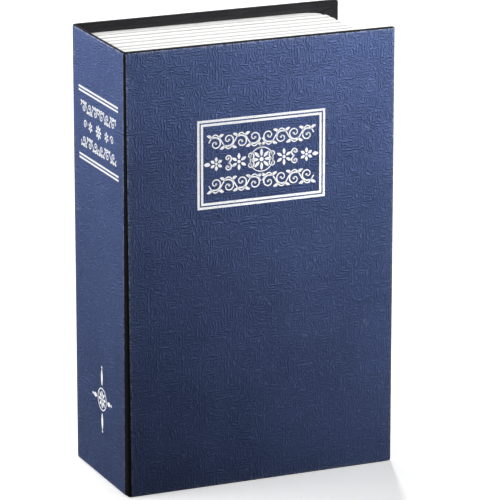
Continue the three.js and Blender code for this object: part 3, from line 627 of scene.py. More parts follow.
# The finish of each slot and detail: for a metal its colour's setting, its roughness and how far that varies,
# and for the others the function that makes it
METALS = {
    "bright_steel": ("zinc", 0.34, 0.16),
    "spring_steel": ("spring", 0.26, 0.12),
    "brass": ("brass", 0.3, 0.14),
    "dial_metal": ("wheel", 0.28, 0.1),
}
FINISHES = {
    "board": board_wrap, "cover_paper": cover_paper, "lining": lining_paper, "silver_foil": foil,
    "joint_cloth": joint_cloth, "page_plastic": page_plastic, "box_steel": powder_coat,
    "black_plastic": moulded, "number_enamel": enamel, "index_paint": index_paint,
}


def finish(slot):
    """The material of a slot or a detail, made on first use."""
    name = f"{slot}_finish"
    if name in bpy.data.materials:
        return bpy.data.materials[name]
    return metal(name, *METALS[slot]) if slot in METALS else FINISHES[slot](name)


# Case

# Grid lines of a cover's sheets, in mm: their distances from each side, then the step across and up
COVER_BORDER = (0, 0.04, 0.1, 0.18, 0.28, 0.42, 0.6, 0.8, 1.0, 1.3)
STEP_ACROSS = 3.0
STEP_UP = 4.0

# Radius of the fore-edge corners of the boards and of the papers on them, in mm
BOARD_CORNER = 0.8
PAPER_CORNER = 0.6

# The papers' slow unevenness, in mm, and how many times that far their faces are sunk, which keeps its crests
# and the foil on them within the CAD's box
PAPER_WAVE = 0.03
WAVE_SINK = 1.7

# In mm: the distance from a rim at which its rub, and on the cover papers its painted edge highlight, has
# faded to about a third, and how far in from the rim the inner face's colour starts and over what distance it
# comes to its full strength
RUB_AND_HIGHLIGHT_REACH = 0.5
INNER_START = 0.35
INNER_FADE = 0.2


def slab(u, v, outer, inner, outward, place, outer_round, inner_round, corner=0.0, wave=0.0, reach=None,
         relief=None, fall=None, both=False):
    """A sheet or board: a grid of points in its plane on each face. Each face drops along a quarter circle
    towards its rim, fall lowers the outer face, or both, wave ripples the outer face, and relief lowers the
    inner one. Returns the skin and, for each point, how near it is to the rim and whether it lies within the
    inner face."""
    grid_u, grid_v = np.meshgrid(u, v, indexing="ij")
    rim = rim_distance(grid_u, grid_v)
    if corner:
        grid_u, grid_v = rounded_corners(grid_u, grid_v, corner)
    if reach is not None:
        grid_u = reach(grid_u, grid_v)
    out = outer - outward * quarter(rim, outer_round)
    into = inner + outward * quarter(rim, inner_round)
    if fall is not None:
        drop = fall(grid_u, grid_v)
        out = out - outward * drop
        into = into - outward * drop * both
    out = out - outward * (WAVE_SINK * wave + ripple(grid_u, grid_v, wave))
    if relief is not None:
        into = into + outward * relief(grid_u, grid_v)
    skin = shell(place(grid_u, grid_v, out), place(grid_u, grid_v, into))
    near = np.exp(-rim.ravel() / RUB_AND_HIGHLIGHT_REACH)
    within = np.clip((rim.ravel() - INNER_START) / INNER_FADE, 0, 1)
    return skin, np.concatenate([near, near]), np.concatenate([0 * within, within])


def on_cover(u, v, w):
    """A cover's own plane: u along X, v along Z, w along Y."""
    return np.stack([u, w, v], -1)


def on_spine(u, v, w):
    """The spine's own plane: u along Y, v along Z, w along X."""
    return np.stack([w, u, v], -1)


def cover_sheet(side, layer, body, slot, turn=None, border=COVER_BORDER, **shape):
    """Board, paper or lining of one cover or the spine, made over the CAD node of that name. turn gives how
    dark each point of a lining is in its creases, and border the grid lines along its sides."""
    node = f"{side}_{layer}"
    low, high = box_mm(node)
    across, through, place = (1, 0, on_spine) if side == "spine" else (0, 1, on_cover)
    outward = 1 if side == "back" else -1
    outer, inner = (high, low) if outward > 0 else (low, high)
    u = lines(low[across], high[across], STEP_ACROSS, border)
    v = lines(low[2], high[2], STEP_UP, border)
    skin, near, within = slab(u, v, outer[through], inner[through], outward, place, **shape)
    values = {"edge": near}
    if layer == "board":
        values["within"] = within
    if turn is not None:
        crease = turn(*np.meshgrid(u, v, indexing="ij")).ravel()
        values["crease"] = np.concatenate([crease, crease])
    name = f"{node}_wrapped" if layer == "board" else f"{node}_sheet"
    return seat(add_mesh(name, [skin], finish(slot), values), body, slot, node)


def lapped(low, high, ends):
    """Stretches a paper sideways until its two sides lie on ends, a pair of lines that each run from a value
    at the foot to one at the head, so that the paper laps over the joint cloth."""
    def reach(u, v):
        up = (v - v.min()) / (v.max() - v.min())
        first, last = (foot + (head - foot) * up for foot, head in ends)
        return first + (u - low) / (high - low) * (last - first)
    return reach


# Where the sides of each cover paper lie, at the foot and at the head of the book
PAPER_SIDES = {
    "front": ((-55.75, -56.7), (57.1, 57.1)),
    "back": ((-56.6, -56.6), (57.1, 57.1)),
    "spine": ((-25.2, -27.1), (27.1, 27.1)),
}

# Laps beyond the board's sides, in mm: how far they have fallen at 1 mm out, and how much thinner they are
# than the paper
LAP_FALL = 0.09
LAP_THIN = 0.28


def thin_lap(low, high):
    """Relief of a lapped paper: it thins on a short straight slope just beyond the board's sides."""
    return lambda u, v: LAP_THIN * np.clip((np.maximum(low - u, u - high) - 0.05) / 0.1, 0, 1)


def rolled(end, low=None, high=None):
    """How far a cover falls: on a parabola towards its fore-edge at end, and on another where its paper laps
    beyond the board's sides at low and high."""
    case = settings("case")
    width, drop = case.roll_width / MM, case.roll_drop / MM

    def fall(u, v):
        fallen = np.zeros_like(u)
        if end is not None:
            fallen = drop * (np.clip(u - (end - width), 0, width) / width) ** 2
        if low is not None:
            beyond = np.maximum(np.maximum(low - u, (u - high) if end is None else 0 * u), 0)
            fallen = fallen + LAP_FALL * beyond ** 2
        return fallen
    return fall


# What shows through a lining, in mm: the step down inside the turned-in border, the depth of the groove along
# a mitre, and the step on the fore-edge's side of it
TURN_STEP = 0.14
MITRE_GROOVE = 0.13
MITRE_STEP = 0.06


def folded(fore):
    """How far a corner's fold lies in from the head or tail, at a distance from the fore-edge: a line."""
    return 0.3 + 0.3 * fore


def turned_in(low, high, width):
    """Relief of a lining: level over the wrap's turned-in border, lower inside it, with a groove along each
    fore-edge corner's mitre."""
    def relief(u, v):
        head, tail, fore = high[2] - v, v - low[2], high[0] - u
        inside = np.minimum(np.minimum(head, tail), fore)
        step = TURN_STEP * np.clip((inside - width) / 0.7, 0, 1)
        mitre = np.zeros_like(u)
        for side in (head, tail):
            off = side - folded(fore)
            corner = (fore < width) & (side < width)
            mitre = np.where(corner, np.maximum(MITRE_GROOVE * (1 - np.abs(off) / 0.9), mitre), mitre)
            mitre = np.where(corner & (off > 0), np.maximum(MITRE_STEP, mitre), mitre)
        return step + mitre
    return relief


def in_border(low, high, width):
    """1 along the turned-in border's inner edge and along each corner's mitre, and 0 away from them."""
    def turn(u, v):
        head, tail, fore = high[2] - v, v - low[2], high[0] - u
        inside = np.minimum(np.minimum(head, tail), fore)
        crease = np.clip(1 - np.abs(inside - width - 0.35) / 0.5, 0, 1)
        for side in (head, tail):
            fold = np.clip(1 - np.abs(side - folded(fore)) / 0.6, 0, 1)
            crease = np.maximum(crease, np.where(fore < width, fold, 0))
        return 0.8 * crease
    return turn


# Each part of the case, its body, and whether it is a cover with a fore-edge
CASE_SIDES = (("back", "root", True), ("front", "front_cover", True), ("spine", "root", False))


class BOOKSAFE_OT_boards(bpy.types.Operator):
    """Make the wrapped boards of both covers and the spine"""
    bl_idname = "book_safe.boards"
    bl_label = "Boards"

    def execute(self, context):
        edge = settings("case").edge_round / MM
        for side, body, cover in CASE_SIDES:
            end = box_mm(f"{side}_board")[1][0] if cover else None
            cover_sheet(side, "board", body, "board", outer_round=edge, inner_round=edge,
                        corner=BOARD_CORNER * cover, fall=rolled(end))
        return {"FINISHED"}


class BOOKSAFE_OT_papers(bpy.types.Operator):
    """Make the embossed cover papers and the linings inside the covers"""
    bl_idname = "book_safe.papers"
    bl_label = "Papers and linings"

    def execute(self, context):
        turn_in = settings("case").turn_in / MM
        fold_lines = np.concatenate([[0, 0.05, 0.12], np.arange(0.4, turn_in + 2, 0.4)])
        for side, body, cover in CASE_SIDES:
            end = box_mm(f"{side}_board")[1][0] if cover else None
            low, high = (corner[0 if cover else 1] for corner in box_mm(f"{side}_paper"))
            cover_sheet(side, "paper", body, "cover_paper", outer_round=0.16, inner_round=0.05,
                        corner=PAPER_CORNER * cover, fall=rolled(end, low, high), both=True, wave=PAPER_WAVE,
                        reach=lapped(low, high, PAPER_SIDES[side]), relief=thin_lap(low, high))
            low, high = box_mm(f"{side}_lining")
            shape = {}
            if cover:
                shape = {"relief": turned_in(low, high, turn_in), "turn": in_border(low, high, turn_in),
                         "border": fold_lines}
            cover_sheet(side, "lining", body, "lining", outer_round=0.05, inner_round=0.1, **shape)
        return {"FINISHED"}


# Joint cloth, in mm: how far its outer and inner faces are set in for the papers' lap, how far it reaches
# past its CAD node to the boards' edges, and the radius on which its ends turn in
JOINT_OUTER = 0.2
JOINT_INNER = 0.6
JOINT_REACH = 0.15
JOINT_END = 1.1


def joint_strip(side, outward):
    """Joint cloth: a quarter of a squared ellipse from the spine to the cover, whose sine and cosine are
    raised to two thirds, carried up the book, with ends that turn in on a quarter circle."""
    low, high = box_mm(f"{side}_joint_cloth")
    right = high[0] + JOINT_REACH
    wide, deep = right - low[0], high[1] - low[1] + JOINT_REACH
    core = low[1] - JOINT_REACH if outward > 0 else high[1] + JOINT_REACH
    up = lines(low[2], high[2], 1.5, (0, 0.05, 0.15, 0.3, 0.5, 0.8, 1.1, 1.5))
    angle, height = np.meshgrid(np.linspace(0, math.pi / 2, 41), up, indexing="ij")
    from_end = np.minimum(height - low[2], high[2] - height)
    drawn = quarter(from_end, JOINT_END) * 0.8

    def arc(inset):
        x = right - (wide - inset - drawn) * np.maximum(np.cos(angle), 0) ** (2 / 3)
        y = core + outward * (deep - inset - drawn) * np.sin(angle) ** (2 / 3)
        return np.stack([x, y, height], -1)
    # A painted highlight along the middle of the corner's arc, where the cloth's ridge catches the light; the
    # rub at the ends is wear
    ridge = np.exp(-((angle - math.pi / 4) / 0.25) ** 2) * 0.7
    near = np.maximum(np.exp(-from_end / 0.8), ridge).ravel()
    skin = shell(arc(JOINT_OUTER), arc(JOINT_INNER))
    values = {"edge": np.concatenate([near, near])}
    return add_mesh(f"{side}_joint_strip", [skin], finish("joint_cloth"), values)


class BOOKSAFE_OT_joints(bpy.types.Operator):
    """Make the two strips of book cloth at the case's corners; the front one is hung on no body"""
    bl_idname = "book_safe.joints"
    bl_label = "Cloth joints"

    def execute(self, context):
        seat(joint_strip("back", 1), "root", "joint_cloth", "back_joint_cloth")
        strip = joint_strip("front", -1)
        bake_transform(strip)
        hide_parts("front_joint_cloth")
        return {"FINISHED"}


# Foil ornament: ribbons in the plane of a cover, each a thin skin a few hundredths proud of the paper

# In mm: how deep the foil's plane lies in its paper's box, how far the foil's face stands out from that
# plane, its thickness, and the width of a scroll's line
FOIL_BED = 0.03
FOIL_RISE = 0.03
FOIL_THICK = 0.06
FOIL_STROKE = 0.62


def ribbon(path, width):
    """A flat strip along a path of points (u, v): at each point it spreads by half its width to each side."""
    path = np.asarray(path, float)
    width = np.broadcast_to(np.asarray(width, float), len(path))
    along = np.gradient(path, axis=0)
    along /= np.maximum(np.hypot(along[:, 0], along[:, 1]), 1e-9)[:, None]
    side = np.stack([-along[:, 1], along[:, 0]], -1) * width[:, None] / 2
    return np.stack([path - side, path + side], 1)


def raised(grid, place, face, outward):
    """A flat grid given the foil's thickness on a cover's face."""
    top = np.full(grid.shape[:2], face + outward * FOIL_RISE)
    low = top - outward * FOIL_THICK
    return shell(place(grid[..., 0], grid[..., 1], top), place(grid[..., 0], grid[..., 1], low))


def bar(u0, v0, u1, v1, width):
    """A straight ribbon, cut square."""
    return ribbon(np.linspace((u0, v0), (u1, v1), 9), width)


def spiral(centre, radius, start, turns, width, way):
    """A scroll: a spiral whose radius shrinks evenly to a seventh, thinning as it winds in to a round eye."""
    t = np.linspace(0, 1, 40)
    angle = start + way * t * turns * 2 * math.pi
    reach = radius * (1 - 0.86 * t)
    path = np.stack([centre[0] + reach * np.cos(angle), centre[1] + reach * np.sin(angle)], -1)
    return [ribbon(path, width * (1 - 0.45 * t)), disc(path[-1], width * 0.75)]


def disc(centre, radius):
    """A round dot: a strip of upright chords, each as long as the circle is high there."""
    t = np.linspace(-1, 1, 13)
    half = np.sqrt(np.maximum(1 - t * t, 0.002)) * radius
    path = np.stack([centre[0] + t * radius, np.full_like(t, centre[1])], -1)
    chord = np.stack([0 * half, half], -1)
    return np.stack([path - chord, path + chord], 1)


def leaf(root, angle, reach, width, curl=0.0):
    """A leaf: a strip whose width is a sine's hump raised to 0.8, and whose line bends evenly by curl."""
    t = np.linspace(0, 1, 15)
    bend = angle + curl * t
    step = reach / (len(t) - 1)
    path = np.stack([root[0] + np.cumsum(np.cos(bend)) * step, root[1] + np.cumsum(np.sin(bend)) * step], -1)
    return ribbon(path, width * np.sin(math.pi * (0.06 + 0.92 * t)) ** 0.8)


def rosette(centre, radius, petals, width):
    """A flower: leaves set evenly round a dot."""
    made = [disc(centre, radius * 0.2)]
    for i in range(petals):
        angle = 2 * math.pi * i / petals + math.pi / 2
        root = (centre[0] + radius * 0.26 * math.cos(angle), centre[1] + radius * 0.26 * math.sin(angle))
        made.append(leaf(root, angle, radius * 0.68, width))
    return made


def ring(centre, radius, width):
    """A round line."""
    t = np.linspace(0, 2 * math.pi, 49)
    return ribbon(np.stack([centre[0] + radius * np.cos(t), centre[1] + radius * np.sin(t)], -1), width)


def vine(u0, u1, v, rise, waves, width, flip):
    """A running scroll: a sine stem with a spiral and two leaves in each half wave."""
    t = np.linspace(0, 1, 30 * waves)
    path = np.stack([u0 + (u1 - u0) * t, v + flip * rise * np.sin(2 * math.pi * waves * t / 2)], -1)
    made = [ribbon(path, width * 0.8)]
    half = (u1 - u0) / waves
    for i in range(waves):
        up = flip * (1 if i % 2 == 0 else -1)
        middle = u0 + half * (i + 0.5)
        eye = (middle, v - up * rise * 0.22)
        made += spiral(eye, rise * 0.92, (math.pi / 2 + 0.5) * up, 1.25, width, -up)
        for side, turn in ((1, up), (-1, math.pi - up)):
            root = (middle + side * half * 0.26, v + up * rise * 0.5)
            made.append(leaf(root, turn, rise * 0.85, width * 1.9, -side * up * 0.9))
    return made


def frame_bars(u0, u1, v0, v1, width):
    """A rectangle of four bars whose outer edges lie on the given lines."""
    h = width / 2
    level = [bar(u0, v, u1, v, width) for v in (v0 + h, v1 - h)]
    return level + [bar(u, v0 + width, u, v1 - width, width) for u in (u0 + h, u1 - h)]


# Front label, in the cover's plane: its left, right, foot and head, its lines' width and the gap between them
LABEL = (-27.3, 27.1, 114.5, 150.2)
LABEL_LINE = 0.95
LABEL_GAP = 0.55

# In mm: how far the label's ornament stays inside its frame, and the distance between two of its rosettes
LABEL_MARGIN = 2.4
ROSETTE_STEP = 9.6


def label_ornament():
    """Two running scrolls above and below a row of rosettes tied by scrolls, symmetrical about the middle."""
    u0, u1, v0, v1 = LABEL
    inset = LABEL_LINE * 2 + LABEL_GAP + LABEL_MARGIN
    mid = (u0 + u1) / 2
    low, high = v0 + inset, v1 - inset
    row = (high - low) / 3
    centre = (low + high) / 2
    made = []
    for v, way in ((high - row / 2, 1), (low + row / 2, -1)):
        half = vine(u0 + inset, mid - 0.3, v, row * 0.34, 4, FOIL_STROKE, way)
        made += half + mirrored(half, mid)
    made += rosette((mid, centre), row * 0.5, 8, 1.25) + [ring((mid, centre), row * 0.56, 0.4)]
    side = []
    for i, reach in ((1, 0.4), (2, 0.32)):
        spot = (mid - i * ROSETTE_STEP, centre)
        side += rosette(spot, row * reach, 6, 1.2)
        for way in (1, -1):
            eye = (spot[0] + 4.9, centre + way * row * 0.2)
            side += spiral(eye, row * 0.2, -way * math.pi / 2, 1.2, 0.6, way)
    side.append(leaf((mid - 21.6, centre), math.pi, 2.6, 1.6))
    return made + side + mirrored(side, mid)


def mirrored(grids, middle):
    """The same ribbons reflected about an upright line."""
    flip = np.array([-1.0, 1.0])
    return [grid * flip + np.array([2 * middle, 0.0]) for grid in grids]


# Ornament on the spine, in its plane: where the rules end, the height of each pair, and the fleuron's middle
SPINE_RULES = (-21.6, 20.4)
SPINE_BANDS = (156.05, 128.6)
SPINE_MOTIF = (-1.5, 33.0)

# In mm: a rule's width, how far each rule of a pair lies from the pair's middle, and how far from there the
# ornament between the two pairs starts
RULE_WIDTH = 0.8
RULE_OFF = 0.75
SPINE_MARGIN = 3.2


def spine_ornament():
    """Two double rules with two short running scrolls and a row of rosettes between, and a fleuron near the
    foot."""
    u0, u1 = SPINE_RULES
    made = []
    for band in SPINE_BANDS:
        made += [bar(u0, v, u1, v, RULE_WIDTH) for v in (band + RULE_OFF, band - RULE_OFF)]
    mid = (u0 + u1) / 2
    top, foot = SPINE_BANDS[0] - SPINE_MARGIN, SPINE_BANDS[1] + SPINE_MARGIN
    row = (top - foot) / 3
    for v, way in ((top - row / 2, 1), (foot + row / 2, -1)):
        half = vine(u0 + 2.2, mid - 0.2, v, row * 0.3, 3, FOIL_STROKE, way)
        made += half + mirrored(half, mid)
    centre = (top + foot) / 2
    made += rosette((mid, centre), row * 0.44, 8, 1.1)
    side = rosette((mid - 8.6, centre), row * 0.32, 6, 1.0)
    side += spiral((mid - 14.2, centre), row * 0.26, 0.0, 1.3, 0.6, 1)
    made += side + mirrored(side, mid)
    return made + lozenge(SPINE_MOTIF, 9.0, 12.5)


def lozenge(centre, wide, high):
    """A fleuron in a lozenge: a rosette in a ring, and a leaf and a dot towards each of four points."""
    made = rosette(centre, wide * 0.42, 8, 1.3) + [ring(centre, wide * 0.5, 0.5)]
    for angle, reach in ((0, wide), (90, high), (180, wide), (270, high)):
        turn = math.radians(angle)
        way = np.array([math.cos(turn), math.sin(turn)])
        root = np.array(centre) + way * wide * 0.6
        made.append(leaf(root, turn, reach - wide * 0.62, 1.9))
        made.append(disc(np.array(centre) + way * (reach + 0.9), 0.55))
    return made


class BOOKSAFE_OT_foil(bpy.types.Operator):
    """Stamp the silver frame and ornament on the front cover and the spine"""
    bl_idname = "book_safe.foil"
    bl_label = "Foil"

    def execute(self, context):
        u0, u1, v0, v1 = LABEL
        step = LABEL_LINE + LABEL_GAP
        label = frame_bars(u0, u1, v0, v1, LABEL_LINE)
        label += frame_bars(u0 + step, u1 - step, v0 + step, v1 - step, LABEL_LINE) + label_ornament()
        for side, body, grids, place, through in (("front", "front_cover", label, on_cover, 1),
                                                  ("spine", "root", spine_ornament(), on_spine, 0)):
            face = box_mm(f"{side}_paper")[0][through] + FOIL_BED
            skins = [raised(grid, place, face, -1) for grid in grids]
            seat(add_mesh(f"{side}_foil", skins, finish("silver_foil")), body, "cover_paper")
        return {"FINISHED"}


# Page block

# The page grooves: how far from the back each lies, as a share of the block's depth, and its own depth in mm
GROOVES = ((0.1, 0.4), (0.2, 0.7), (0.31, 0.4), (0.41, 0.55), (0.53, 0.45), (0.62, 0.35), (0.73, 0.95),
           (0.86, 0.95))

# In mm: the grooves' width, the pocket's left, right, foot and head, the radius of its mouth, and the radius
# of the fore-edge towards the back, of the front rim and of the block's corners
GROOVE_WIDTH = 2.8
POCKET = (-45.1, 38.0, 13.5, 166.5)
POCKET_ROUND = 0.5
FORE_EDGE_ROUND = 8.0
RIM_ROUND = 0.7
PAGE_CORNER = 1.2

# Sections from the block's back to its front rim, and points on each side of a section
PAGE_SECTIONS = 300
SIDE_POINTS = 24


def oblong(x0, x1, z0, z1, y):
    """A section of the block at a depth: points round a rectangle, a quarter circle at each corner and a
    straight side after it."""
    radius = PAGE_CORNER
    points = []
    spots = ((x1 - radius, z0 + radius, -90), (x1 - radius, z1 - radius, 0), (x0 + radius, z1 - radius, 90),
             (x0 + radius, z0 + radius, 180))
    for i, (x, z, start) in enumerate(spots):
        angle = np.radians(start + np.linspace(0, 90, 8))
        arc = np.stack([x + radius * np.cos(angle), z + radius * np.sin(angle)], -1)
        after = spots[(i + 1) % 4]
        turn = math.radians(start + 90)
        begin = np.array([after[0] + radius * math.cos(turn), after[1] + radius * math.sin(turn)])
        straight = arc[-1] + (begin - arc[-1]) * np.linspace(0, 1, SIDE_POINTS + 2)[1:-1, None]
        points += [arc, straight]
    loop = np.concatenate(points)
    return np.stack([loop[:, 0], np.full(len(loop), y), loop[:, 1]], -1)


def page_cut(y, back, depth):
    """How far the pages are cut in at a depth: V grooves and fine lines between them, and the painted shade
    that darkens the plastic there."""
    pages = settings("pages")
    groove, shade = np.zeros_like(y), np.zeros_like(y)
    for share, deep in GROOVES:
        off = np.clip(np.abs(y - (back - share * depth)) / (GROOVE_WIDTH / 2), 0, 1)
        groove = np.maximum(groove, deep * (1 - off))
        shade = np.maximum(shade, (0.2 + 0.9 * deep) * np.clip(1.3 * (1 - off), 0, 1))
    fine = pages.page_depth / MM * (1 - np.abs(np.sin(math.pi * y / (pages.page_pitch / MM))))
    return groove, fine, np.minimum(shade + 2 * fine, 1)


def page_rings():
    """The moulding as sections round the book: the outer wall from back to front, cut by the page lines and
    drawn in at the fore-edge along a quarter circle, the rounded front rim, then the pocket's wall back."""
    low, high = box_mm("page_block")
    back, front = high[1], low[1]
    rim = front + RIM_ROUND * (1 - np.sin(np.linspace(0.2, 1, 6) * math.pi / 2))
    y = np.concatenate([np.linspace(back, front + RIM_ROUND, PAGE_SECTIONS), rim])
    groove, fine, shade = page_cut(y, back, back - front)
    into = np.clip((y - (back - FORE_EDGE_ROUND)) / FORE_EDGE_ROUND, 0, 1)
    draw = FORE_EDGE_ROUND * (1 - np.sqrt(1 - into * into))
    rings = []
    for at, cut, soft, drawn in zip(y, groove + fine, quarter(y - front, RIM_ROUND), draw):
        inset = cut + soft
        rings.append(oblong(low[0] + soft, high[0] - drawn - inset, low[2] + inset, high[2] - inset, at))
    outer = rings[-1]
    x0, x1, z0, z1 = POCKET

    def pocket(grow, at):
        return oblong(x0 - grow, x1 + grow, z0 - grow, z1 + grow, at)
    mouth = pocket(POCKET_ROUND, front)
    rings += [outer * (1 - share) + mouth * share for share in np.linspace(0, 1, 7)[1:-1]]
    rings += [pocket(POCKET_ROUND * (1 - math.sin(turn)), front + POCKET_ROUND * (1 - math.cos(turn)))
              for turn in np.linspace(0, math.pi / 2, 6)]
    rings += [pocket(0, at) for at in np.linspace(front + 3 * POCKET_ROUND, back, 12)]
    shades = np.zeros(len(rings))
    shades[:len(shade)] = shade
    return np.array(rings), np.repeat(shades, len(outer))


class BOOKSAFE_OT_pages(bpy.types.Operator):
    """Make the moulded page block round the cash box"""
    bl_idname = "book_safe.pages"
    bl_label = "Moulded pages"

    def execute(self, context):
        rings, shade = page_rings()
        plastic = finish("page_plastic")
        # The groove attribute carries the painted shade of the grooves and page lines
        block = add_mesh("moulded_pages", [ring_grid(rings)], plastic, {"groove": shade}, sharp=50)
        seat(block, "root", "page_plastic", "page_block")
        return {"FINISHED"}


# Cash box and lock

# The parts that keep their CAD shape: each one's node, body and slot, and the width of its edges' bevel in mm
BOX_PARTS = (
    ("box_tray", "root", "box_steel", 0.5),
    ("box_lid", "lid", "box_steel", 0.45),
    ("hinge_leaf_tray", "root", "box_steel", 0.2),
    ("hinge_leaf_lid", "lid", "box_steel", 0.2),
    ("strike_plate", "root", "bright_steel", 0.2),
)
LOCK_PARTS = (
    ("lock_bezel", "lid", "black_plastic", 0.35),
    ("lock_housing", "lid", "black_plastic", 0.2),
    ("lock_cover", "lid", "bright_steel", 0.15),
    ("reset_lever", "reset", "black_plastic", 0.25),
    ("detent_spring", "lid", "spring_steel", 0.08),
    ("latch_bolt", "latch", "bright_steel", 0.2),
    ("latch_knob", "latch", "dial_metal", 0.3),
)

# Shank radius, head radius and head height of each screw and rivet, in mm
BOX_SCREW = (1.4, 2.8, 1.6)
LOCK_SCREW = (1.1, 2.0, 1.2)
STRIKE_RIVET = (1.0, 1.7, 0.7)

# Chamfer on the ends of the hinge pin and the axle, in mm
PIN_CHAMFER = 0.3

# Wheels, in mm: their bore's radius, their flutes' depth, the depth of a code ring's notch, how far the
# numbers stand proud, the thickness asked for them, and the index marks' distance from the wheels' middle
AXLE_BORE = 1.28
FLUTE_DEPTH = 0.45
NOTCH_DEPTH = 1.0
NUMBER_RISE = 0.02
NUMBER_THICK = 0.06
MARK_OUT = 7.6

# Numbers on a wheel, and a number's height as a share of its font's size
NUMBERS = 10
CAP_SHARE = 0.7


def eased(node, body, slot, width):
    """A copy of a CAD node with its doubles merged, its flat faces joined and its edges rounded."""
    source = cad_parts[node]
    mesh = source.data.copy()
    mesh.name = f"{node}_finished"
    mesh.transform(source.matrix_world)
    merged(mesh, NODE_DOUBLES, flat=1)
    smoothed(mesh, 180)
    mesh.materials.clear()
    piece = placed(mesh.name, mesh, finish(slot))
    bevel = piece.modifiers.new("Eased edges", "BEVEL")
    bevel.width = width * MM
    bevel.segments = 3
    bevel.limit_method = "ANGLE"
    bevel.angle_limit = math.radians(28)
    flats = piece.modifiers.new("Flat faces", "WEIGHTED_NORMAL")
    flats.weight = 80
    flats.keep_sharp = True
    seat(piece, body, slot, node)


def turned(profile, centre, angles, radius=None):
    """A turned part: a closed profile of (radius, height) swept round an upright axis. radius(angle, r) may
    change the radius at each angle, for flutes and flats."""
    profile = np.asarray(profile, float)
    angle = np.linspace(0, 2 * math.pi, angles, endpoint=False)
    reach = np.repeat(profile[:, :1], angles, 1)
    if radius is not None:
        reach = radius(angle[None, :], reach)
    height = np.repeat(profile[:, 1:], angles, 1)
    across, deep = centre[0] + reach * np.cos(angle), centre[1] + reach * np.sin(angle)
    return ring_grid(np.stack([across, deep, height], -1))


def upright_pin(node, body, profile):
    """A turned pin in a CAD node's place. profile gives its outline from its radius and the heights of its
    foot and head."""
    low, high = box_mm(node)
    outline = profile((high[0] - low[0]) / 2, low[2], high[2])
    pin = add_mesh(f"{node}_turned", [turned(outline, (low + high) / 2, angles=32)], finish("bright_steel"))
    seat(pin, body, "bright_steel", node)


class BOOKSAFE_OT_box(bpy.types.Operator):
    """Finish the steel tray, its lid, the hinge and the strike"""
    bl_idname = "book_safe.box"
    bl_label = "Steel box"

    def execute(self, context):
        for part in BOX_PARTS:
            eased(*part)
        upright_pin("hinge_pin", "root", lambda radius, foot, head: [
            (0, foot), (radius * 0.7, foot), (radius, foot + PIN_CHAMFER), (radius, head - PIN_CHAMFER),
            (radius * 0.7, head), (0, head)])
        return {"FINISHED"}


def pan_screw(shank, head, rise, tip):
    """Profile of a pan-head screw whose head's seat is at height 0 and whose shank runs down to tip: a domed
    head, a shank with a rolled thread, and a cone."""
    dome = np.linspace(0, 1, 14)
    profile = [(head * d, rise * (1 - 0.45 * d ** 3)) for d in dome]
    profile += [(head, rise * 0.2), (head * 0.97, 0.0), (shank, 0.0)]
    pitch = shank * 0.55
    level = -0.3
    while level > tip + shank:
        profile += [(shank, level), (shank * 0.84, level - pitch / 2)]
        level -= pitch
    return profile + [(shank * 0.8, tip + shank * 0.7), (0, tip)]


def cross_sunk(points, head, rise):
    """Sinks a cross in a screw's head: heights over the cross's two bars drop on a smooth step."""
    a, b = np.abs(points[:, 0]), np.abs(points[:, 1])
    narrow, short = ([np.clip((head * reach - off) / (head * soft), 0, 1) for off in (a, b)]
                     for reach, soft in ((0.16, 0.06), (0.62, 0.12)))
    cross = np.maximum(narrow[0] * short[1], narrow[1] * short[0])
    points[:, 2] -= cross * (points[:, 2] > rise * 0.3) * rise * 0.5


def screw_along(node, way, size, body, cross=True, turn=0.0):
    """A screw or rivet in a CAD node's place. way is the direction that its head looks in."""
    low, high = box_mm(node)
    axis = int(np.argmax(np.abs(way)))
    facing = way[axis]
    _, head, rise = size
    outline = pan_screw(*size, tip=rise - (high[axis] - low[axis]))
    points, quads = turned(outline, (0, 0), angles=72)
    if cross:
        cross_sunk(points, head, rise)
    c, s = math.cos(turn), math.sin(turn)
    middle = (low + high) / 2
    first, second = (i for i in range(3) if i != axis)
    spots = np.empty_like(points)
    spots[:, axis] = (high[axis] - rise if facing > 0 else low[axis] + rise) + facing * points[:, 2]
    spots[:, first] = middle[first] + (points[:, 0] * c - points[:, 1] * s)
    spots[:, second] = middle[second] + (points[:, 0] * s + points[:, 1] * c)
    piece = add_mesh(f"{node}_turned", [(spots, quads)], finish("bright_steel"), sharp=32)
    seat(piece, body, "bright_steel", node)


class BOOKSAFE_OT_fasteners(bpy.types.Operator):
    """Make the screws and rivets"""
    bl_idname = "book_safe.fasteners"
    bl_label = "Screws and rivets"

    def execute(self, context):
        for i in range(1, 5):
            way = (0, 0, 1) if i < 3 else (0, 0, -1)
            screw_along(f"box_screw_{i}", way, BOX_SCREW, "root", turn=0.4 * i)
            screw_along(f"lock_screw_{i}", (0, 1, 0), LOCK_SCREW, "lid", turn=0.55 * i)
        for i in (1, 2):
            screw_along(f"strike_rivet_{i}", (-1, 0, 0), STRIKE_RIVET, "root", cross=False)
        return {"FINISHED"}


def wheel_skin(centre, radius, z0, z1):
    """A wheel: a drum with rounded rims and a bore, and between each two numbers a flute, as a bell curve."""
    def fluted(angle, reach):
        off = (angle * NUMBERS / (2 * math.pi) + 0.5) % 1 - 0.5
        dip = FLUTE_DEPTH * np.exp(-(off / 0.09) ** 2)
        return reach - dip * np.clip((reach - radius * 0.8) / (radius * 0.2), 0, 1)
    soft = 0.35
    arc = np.linspace(0, math.pi / 2, 5)
    rim_low = [(radius - soft + soft * math.sin(a), z0 + soft - soft * math.cos(a)) for a in arc]
    rim_high = [(radius - soft + soft * math.cos(a), z1 - soft + soft * math.sin(a)) for a in arc]
    steps = ((AXLE_BORE, 0), (radius * 0.5, 0), (radius * 0.52, 0.2), (radius * 0.8, 0.2), (radius * 0.82, 0))
    face = [(r, z0 + deep) for r, deep in steps]
    back = [(r, z1 - deep) for r, deep in reversed(steps)]
    return turned(face + rim_low + rim_high + back, centre, angles=240, radius=fluted)


